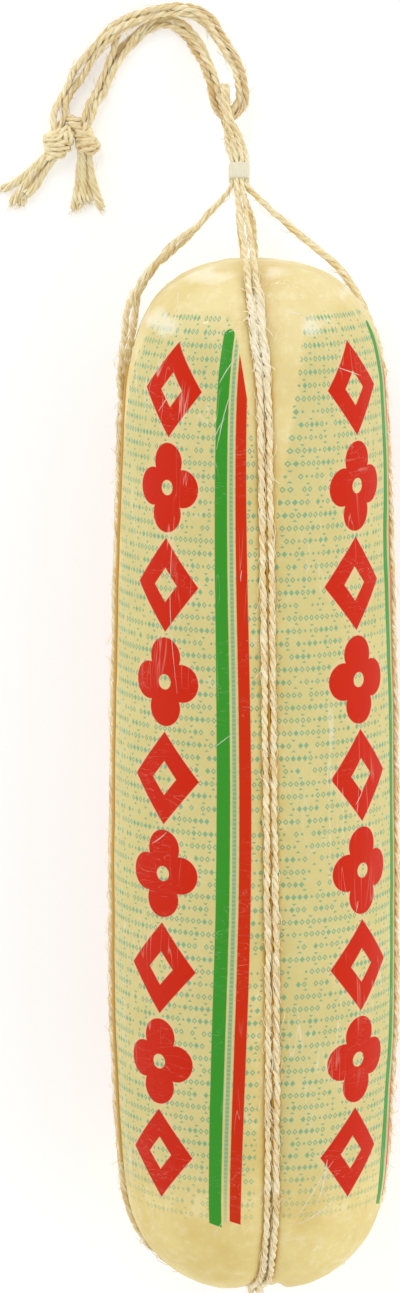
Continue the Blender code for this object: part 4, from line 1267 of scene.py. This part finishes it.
# %% The knots
KNOT_STRAND = 2.95
KNOT_STRAY, STRAY_SIZE = 0.5, 6.0
SUNK = 0.45
RING_POINTS = 44
KNOTS = {
    "left": {
        "foot": (-91.0, 254.4, 6.2), "heart": (-87.6, 263.4, 6.8),
        "core": 0.8, "core_shift": (0.7, 0.0, 0.0), "shade_share": 0.0,
        "turns": [((-86.2, 266.6, 6.9), 24, 5.8, 5.2), ((-86.8, 264.6, 7.1), 12, 6.8, 6.2),
                  ((-87.4, 262.6, 7.0), -10, 6.9, 6.4), ((-88.0, 260.6, 7.0), -22, 6.8, 6.4),
                  ((-88.5, 258.6, 6.8), -28, 6.0, 6.1), ((-88.9, 256.8, 6.6), -22, 5.2, 5.5),
                  ((-89.3, 255.2, 6.4), 8, 4.2, 4.7), ((-83.4, 264.4, 7.0), 68, 4.9, 6.4),
                  ((-81.6, 263.6, 6.9), 72, 4.3, 5.7)],
    },
    "right": {
        "foot": (-75.4, 256.2, 6.2), "heart": (-76.6, 264.4, 6.8),
        # The right knot gets a share of painted shade on all its turns
        "core": 0.62, "core_shift": (-1.4, -1.8, 0.0), "shade_share": 0.22,
        "turns": [((-79.6, 271.3, 7.2), -22, 3.9, 4.6), ((-79.2, 269.5, 7.4), -32, 4.9, 5.5),
                  ((-78.0, 267.5, 7.4), -36, 5.4, 5.9), ((-76.3, 265.5, 7.3), -30, 5.8, 6.1),
                  ((-75.0, 263.5, 7.2), -24, 6.1, 6.3), ((-74.3, 261.5, 7.0), -18, 6.1, 6.3),
                  ((-74.2, 259.5, 6.8), -14, 5.6, 6.0), ((-74.6, 257.6, 6.6), -10, 4.6, 5.3),
                  ((-76.9, 266.8, 7.3), 48, 4.6, 6.3)],
    },
}


def knot_bundles(knot, seed):
    """Rings of twine round a knot: middle, slant to the right in degrees, and two radii."""
    bundles = []
    angles = np.linspace(0.0, 2 * math.pi, RING_POINTS)
    for k, (middle, slant, side, tall) in enumerate(knot["turns"]):
        lean = math.radians(slant)
        centre = np.array(Vector(middle) + SHIFT)
        one = np.array([math.cos(lean), math.sin(lean), 0.0]) * (side - SUNK * KNOT_STRAND)
        two = np.array([0.0, 0.0, 1.0]) * (tall - SUNK * KNOT_STRAND)
        ring = np.array([centre + one * math.cos(t) + two * math.sin(t) for t in angles])
        apart = Vector((seed, k, 0.0))
        ring += [noise.noise_vector(Vector(p) / STRAY_SIZE + apart) * KNOT_STRAY for p in ring]
        widths = np.full(len(ring), KNOT_STRAND)
        bundles += twist(ring, widths, seed + k, pitch=9.0, spread=0.22, thick=0.31, shade_share=knot["shade_share"])
    return bundles


def knot_core(name, node, size, shift):
    core = copy_of(node, name)
    middle = sum((v.co for v in core.data.vertices), Vector()) / len(core.data.vertices)
    for vert in core.data.vertices:
        vert.co = middle + (vert.co - middle) * size + Vector(shift) * MM
    return core


knots = {}
for number, (hand, knot) in enumerate(KNOTS.items()):
    made = strand_mesh(f"knot_of_twine_{hand}", knot_bundles(knot, 40 + 20 * number))
    made.data.materials.append(twine)
    core = knot_core(f"knot_core_{hand}", f"knot_{hand}", knot["core"], knot["core_shift"])
    core.data.materials.append(twine)
    bpy.ops.object.shade_smooth()
    knots[hand] = [made, core]
    for piece in knots[hand]:
        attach(piece, "root")
        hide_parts(f"knot_{hand}")
print("turns of twine:", {hand: len(knot["turns"]) for hand, knot in KNOTS.items()})

# %% [markdown]
# The ends below each knot are the strands themselves. They were cut square, so their twist
# has opened: each lies on the table as four thin plies that spread towards the cut, with a
# tuft of loose fibres at it.

# %% The frayed ends
TAIL_ENDS = {
    "left": [(-112.4, 239.6, 2.2), (-108.0, 233.4, 2.4), (-104.6, 232.8, 2.2), (-101.9, 237.4, 4.6)],
    "right": [(-80.4, 231.0, 2.2), (-77.2, 233.2, 3.6), (-73.6, 234.6, 2.4), (-68.4, 231.4, 2.4)],
}
FIBRES_PER_END = 24
FRAY_WIDTH, FRAY_LENGTH, FRAY_HALF = 3.2, 3.6, 0.2
FRAY_BEND = (0.32, 0.32, 0.14)
FRAY_SHORTEST = 0.35
TABLE_GAP = 0.4
TAIL_WIDTHS = (2.7, 3.5)
TAIL_GAPS = (1.5, 2.2)
TAIL_LOWEST = 1.6
TAIL_LEVELS = (-0.8, 0.9)
fibre_paths = []


def fray(line, width, count, longest):
    """Loose fibres that leave the last stretch of a strand."""
    way = Vector(line[-1] - line[-6]).normalized()
    for _ in range(count):
        start = Vector(line[-1 - dice.randrange(5)])
        start += Vector((dice.uniform(-1, 1), dice.uniform(-1, 1), dice.uniform(-1, 1))) * width * 0.3
        bend = Vector([dice.gauss(0, most) for most in FRAY_BEND])
        reach = dice.uniform(FRAY_SHORTEST, 1.0) * longest
        points = [start, start + way * reach * 0.5 + bend * reach * 0.25, start + way * reach + bend * reach]
        points = [Vector((p.x, p.y, max(p.z, TABLE_GAP))) for p in points]
        fibre_paths.append((points, FRAY_HALF, dice.random()))


for number, (hand, ends) in enumerate(TAIL_ENDS.items()):
    foot = Vector(KNOTS[hand]["foot"])
    middle_end = sum((Vector(e) for e in ends), Vector()) / len(ends)
    down = (middle_end - foot).normalized()
    beside = Vector((-down.y, down.x, 0.0)).normalized()
    bundles = []
    for k, end in enumerate(ends):
        end = Vector(end)
        start = foot + beside * (k - 1.5) * TAIL_GAPS[0] + Vector((0.0, 0.0, TAIL_LEVELS[k % 2])) - down * 3.0
        early = start + down * 7.5 + Vector((0.0, 0.0, -0.8))
        together = foot.lerp(middle_end, 0.58) + beside * (k - 1.5) * TAIL_GAPS[1]
        together.z = 2.6 + (0.0, 1.4)[k % 2]
        line = smooth([start, early, together, end], 0.8) + np.array(SHIFT)
        line[:, 2] = np.maximum(line[:, 2], TAIL_LOWEST)
        widths = np.linspace(*TAIL_WIDTHS, len(line))
        seed = 70 + 10 * number + k
        bundles += twist(line, widths, seed, pitch=17.0, plies=4, spread=0.25, thick=0.25, fray=0.3)
        shown_lines.append((line, widths))
        fray(line, FRAY_WIDTH, FIBRES_PER_END, FRAY_LENGTH)
    made = strand_mesh(f"tail_of_twine_{hand}", bundles)
    made.data.materials.append(twine)
    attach(made, "root")
    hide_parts(f"tail_{hand}")
print("fibres at the cut ends:", len(fibre_paths))

# %% [markdown]
# Each strand of the carrying cord now gets its twine. Its line runs on into the heart of
# each knot, so that no cut end shows. One strand lies in the shade of the others and is duskier.

# %% The carrying cord's strands
INTO_KNOT = 9
# Shares of painted shade for the four strands; the third lies in the shade of the others
CORD_SHADE_SHARES = (0.0, 0.1, 0.55, 0.05)


def way_in(line, hand):
    """The bent last stretch of a strand, from its line's end to the heart of a knot."""
    ahead = (line[-1] - line[-4]) / np.linalg.norm(line[-1] - line[-4])
    heart = np.array(KNOTS[hand]["heart"]) + ahead * 0.6
    bend = line[-1] + ahead * 0.5 * np.linalg.norm(heart - line[-1])
    shares = np.linspace(0.0, 1.0, INTO_KNOT + 1)[1:, None]
    return (1 - shares) ** 2 * line[-1] + 2 * shares * (1 - shares) * bend + shares**2 * heart


for number, line in enumerate(cord_lines, 1):
    full = np.vstack([way_in(line[::-1], "left")[::-1], line, way_in(line, "right")])
    widths, shade_share = np.full(len(full), CORD_THICK), CORD_SHADE_SHARES[number - 1]
    made = lay_strand(f"cord_strand_{number}", f"carry_strand_{number}", full, widths, 20 + number, shade_share)

# %% [markdown]
# ### Loose fibres
# What makes sisal look rough is its fibres: stiff single hairs that wind round the strand
# for a while, lie on it or stand off it, and end in the air. Each is a thin three-sided
# needle of a few points. It starts just inside the strand, winds round it and leaves the
# surface near its tip. Where the front pair is chafed, they are shorter and many more. A
# fixed seed gives the same ones in each run.

# %% Fibres along the strands
FIBRE_STEP = 2.6
FIBRE_LENGTH = (7.0, 26.0)
FIBRE_POINTS = 11
FIBRE_HALF = (0.15, 0.25)
FIBRE_TURN = (14.0, 40.0)
FIBRE_LEAVES = (0.55, 0.95)
FIBRE_STAND, WILD_STAND = 3.0, 1.2
FIBRE_LOWEST = 0.35
INSIDE, OUTSIDE = 0.4, 0.14
WILD_STEP, WILD_SHORTER, WILD_THICKER = 0.14, 0.45, 0.2
DEEPEST_IN, FAR_OUT = 0.1, 8.0


def fibre_on(line, widths, frames, run, at, wild):
    """The points of one fibre that starts at a place along a strand."""
    _, one, two = frames
    reach = dice.uniform(*FIBRE_LENGTH) * (1 - WILD_SHORTER * wild)
    way = dice.choice((-1, 1))
    turn_rate = -2 * math.pi / dice.uniform(*FIBRE_TURN)
    angle = dice.uniform(0, 2 * math.pi)
    leaves = dice.uniform(*FIBRE_LEAVES)
    stand = dice.uniform(0.2, 1.0) ** 2 * (FIBRE_STAND + WILD_STAND * wild)
    points = []
    for share in np.linspace(0.0, 1.0, FIBRE_POINTS):
        place_on = at + way * share * reach
        if not 1.0 < place_on < run[-1] - 1.0:
            break
        k = int(np.searchsorted(run, place_on))
        a = angle + turn_rate * share * reach * way
        out = math.cos(a) * one[k] + math.sin(a) * two[k]
        off = widths[k] * (INSIDE + OUTSIDE * ramp(share, 0.0, 0.25))
        off += stand * max(0.0, share - leaves) / (1 - leaves)
        spot = Vector(line[k] + out * off)
        points.append(Vector((spot.x, spot.y, max(spot.z, FIBRE_LOWEST))))
    return points


def outside_cheese(spot):
    hit, normal, _, _ = skin_tree.find_nearest(spot)
    off = spot - hit
    return off.dot(normal) > -DEEPEST_IN or off.length > FAR_OUT


def along_strands():
    for line, widths in shown_lines:
        frames = carried_frames(line)
        run = run_of(line)
        at = dice.uniform(1.0, 3.0)
        while at < run[-1] - 4:
            k = int(np.searchsorted(run, at))
            wild = worn(*line[k])
            points = fibre_on(line, widths, frames, run, at, wild)
            while len(points) > 3 and not outside_cheese(points[-1]):
                points.pop()
            if len(points) > 3:
                thick = dice.uniform(*FIBRE_HALF) * (1 + WILD_THICKER * wild)
                fibre_paths.append((points, thick, dice.random() * (1 - wild)))
            at += dice.expovariate(1 / FIBRE_STEP) * (1 - wild * (1 - WILD_STEP))


def needle_mesh(name, paths):
    points, faces, tones = [], [], []
    for path, thick, tone in paths:
        base = len(points)
        for k, spot in enumerate(path):
            lead = (path[min(k + 1, len(path) - 1)] - path[max(k - 1, 0)]).normalized()
            one = lead.cross(Vector((0.3, 0.2, 0.9))).normalized()
            two = lead.cross(one)
            size = thick * (1 - 0.4 * k / (len(path) - 1))
            for j in range(3):
                t = 2 * math.pi * j / 3
                points.append(tuple((spot + (one * math.cos(t) + two * math.sin(t)) * size) * MM))
                tones.append(tone)
            if k:
                low = base + 3 * (k - 1)
                for j in range(3):
                    n = (j + 1) % 3
                    faces.append((low + j, low + n, low + 3 + n, low + 3 + j))
        faces += [(base + 2, base + 1, base), (len(points) - 3, len(points) - 2, len(points) - 1)]
    made = new_mesh(name, points, faces, tone=tones)
    face_outwards()
    return made


along_strands()
fuzz = needle_mesh("twine_fibres", fibre_paths)
FIBRE_PALE = colour("#fdf5dc")
FIBRE_GOLD = colour("#e3c88c")
single, tree, shader = new_material("single sisal fibre", {"Roughness": 0.7, "Specular IOR Level": 0.3})
tone = add("Attribute", out=2, attribute_name="tone")
feed(shader.inputs["Base Color"], coats(FIBRE_PALE, (tone, FIBRE_GOLD)))
fuzz.data.materials.append(single)
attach(fuzz, "root")
print("fibres:", len(fibre_paths), "triangles:", sum(len(p.vertices) - 2 for p in fuzz.data.polygons))

# %% [markdown]
# ## The clip
# A short ring of off-white polyethylene was crimped round all the strands, which left
# ridges along it. The solid has them already. A fine bevel on its rims catches the light,
# and a little light under the surface gives it the waxy look of that plastic. Fine ribs
# from a wave node, which turns 20 radians for each unit of its scale, are its mould marks.

# %% The clip's finish
RIB_STEP = 1.257
WAVE_RADIANS = 20
RIMS = 0.25
SMOOTH_BELOW = math.radians(40)
clip = copy_of("clip", "crimped_clip")
bevel = clip.modifiers.new("soft rims", "BEVEL")
bevel.width = RIMS * MM
bevel.segments = 2
bevel.limit_method = "ANGLE"
bpy.ops.object.modifier_apply(modifier=bevel.name)
bpy.ops.object.shade_smooth_by_angle(angle=SMOOTH_BELOW)
plastic, tree, shader = new_material("moulded polyethylene", {
    "Base Color": colour("#e3dbc0"), "Roughness": 0.45,
    "Subsurface Weight": 0.2, "Subsurface Radius": (0.003, 0.003, 0.002),
})
rib_scale = per(RIB_STEP) * math.tau / WAVE_RADIANS
ribs = add("TexWave", add("TexCoord", out=3), Scale=rib_scale, out=1, bands_direction="X")
feed(shader.inputs["Normal"], add("Bump", Strength=0.35, Distance=0.0004, Height=ribs))
clip.data.materials.append(plastic)
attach(clip, "root")
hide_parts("clip")
print("clip faces:", len(clip.data.polygons))

# %% [markdown]
# ## Table, light and camera
# The picture is a plain product shot on matt white paper. The paper glows a little, so
# that it stays white under the piece as well.

# %% The table
WHITE = colour("#ffffff")
TABLE_SIZE = 12.0
bpy.ops.object.select_all(action="DESELECT")
bpy.ops.mesh.primitive_plane_add(size=TABLE_SIZE, location=(0.0, 0.0, 0.0))
table = bpy.context.object
table.name = "table"
white, tree, shader = new_material("white matt paper", {
    "Base Color": colour("#cecece"), "Roughness": 0.9, "Specular IOR Level": 0.1,
    "Emission Color": WHITE, "Emission Strength": 0.49,
})
table.data.materials.append(white)
print("table:", table.name, TABLE_SIZE, "m wide")

# %% [markdown]
# Soft light comes from all round and is brightest near the horizon, which keeps the shadows
# open. A window beyond the hanging end gives the cords their shape, and a weak fill comes
# from the right.

# %% Light
HORIZON = 1.24
ZENITH = 0.28
GLOW_FALLS = (0.5, 0.93)
world = bpy.data.worlds.new("studio")
bpy.context.scene.world = world
world.use_nodes = True
tree = world.node_tree
up_share = add("SeparateXYZ", add("TexCoord", out=0), out=2)
glow = add("MapRange", up_share, *GLOW_FALLS, HORIZON, ZENITH)
background = tree.nodes["Background"]
feed(background.inputs["Color"], WHITE)
feed(background.inputs["Strength"], glow)
bpy.context.scene.view_settings.view_transform = "Standard"


def area_light(name, place, aim, size, power):
    bpy.ops.object.light_add(type="AREA", location=place)
    made = bpy.context.object
    made.name = made.data.name = name
    made.data.shape = "SQUARE"
    made.data.size = size
    made.data.energy = power
    made.rotation_euler = (Vector(aim) - Vector(place)).to_track_quat("-Z", "Y").to_euler()


area_light("window", place=(-0.35, 1.15, 1.35), aim=(0.0, 0.1, 0.08), size=0.6, power=6.0)
area_light("fill", place=(1.2, -0.3, 1.5), aim=(0.0, 0.0, 0.05), size=1.2, power=5.0)
print("lights:", [light.name for light in bpy.data.lights])

# %% [markdown]
# A long lens looks almost straight down on the cheese. Its place and tilt are matched to
# the outline in the photograph, which hardly narrows towards its far end, as only a long
# lens shows it.

# %% Camera
CAMERA_PLACE = (-24.0, 480.85, 2551.0)
CAMERA_TILT = 10.0
FOCAL_PIXELS = 5700.0
IMAGE_HEIGHT = 1293.0
SENSOR = 36.0
CLIP_START = 0.05

place = [v * MM for v in CAMERA_PLACE]
bpy.ops.object.camera_add(location=place, rotation=(-math.radians(CAMERA_TILT), 0.0, 0.0))
camera = bpy.context.object
camera.data.sensor_width = SENSOR
camera.data.lens = FOCAL_PIXELS / IMAGE_HEIGHT * SENSOR
camera.data.clip_start = CLIP_START
bpy.context.scene.camera = camera
print("lens:", round(camera.data.lens, 1), "mm")
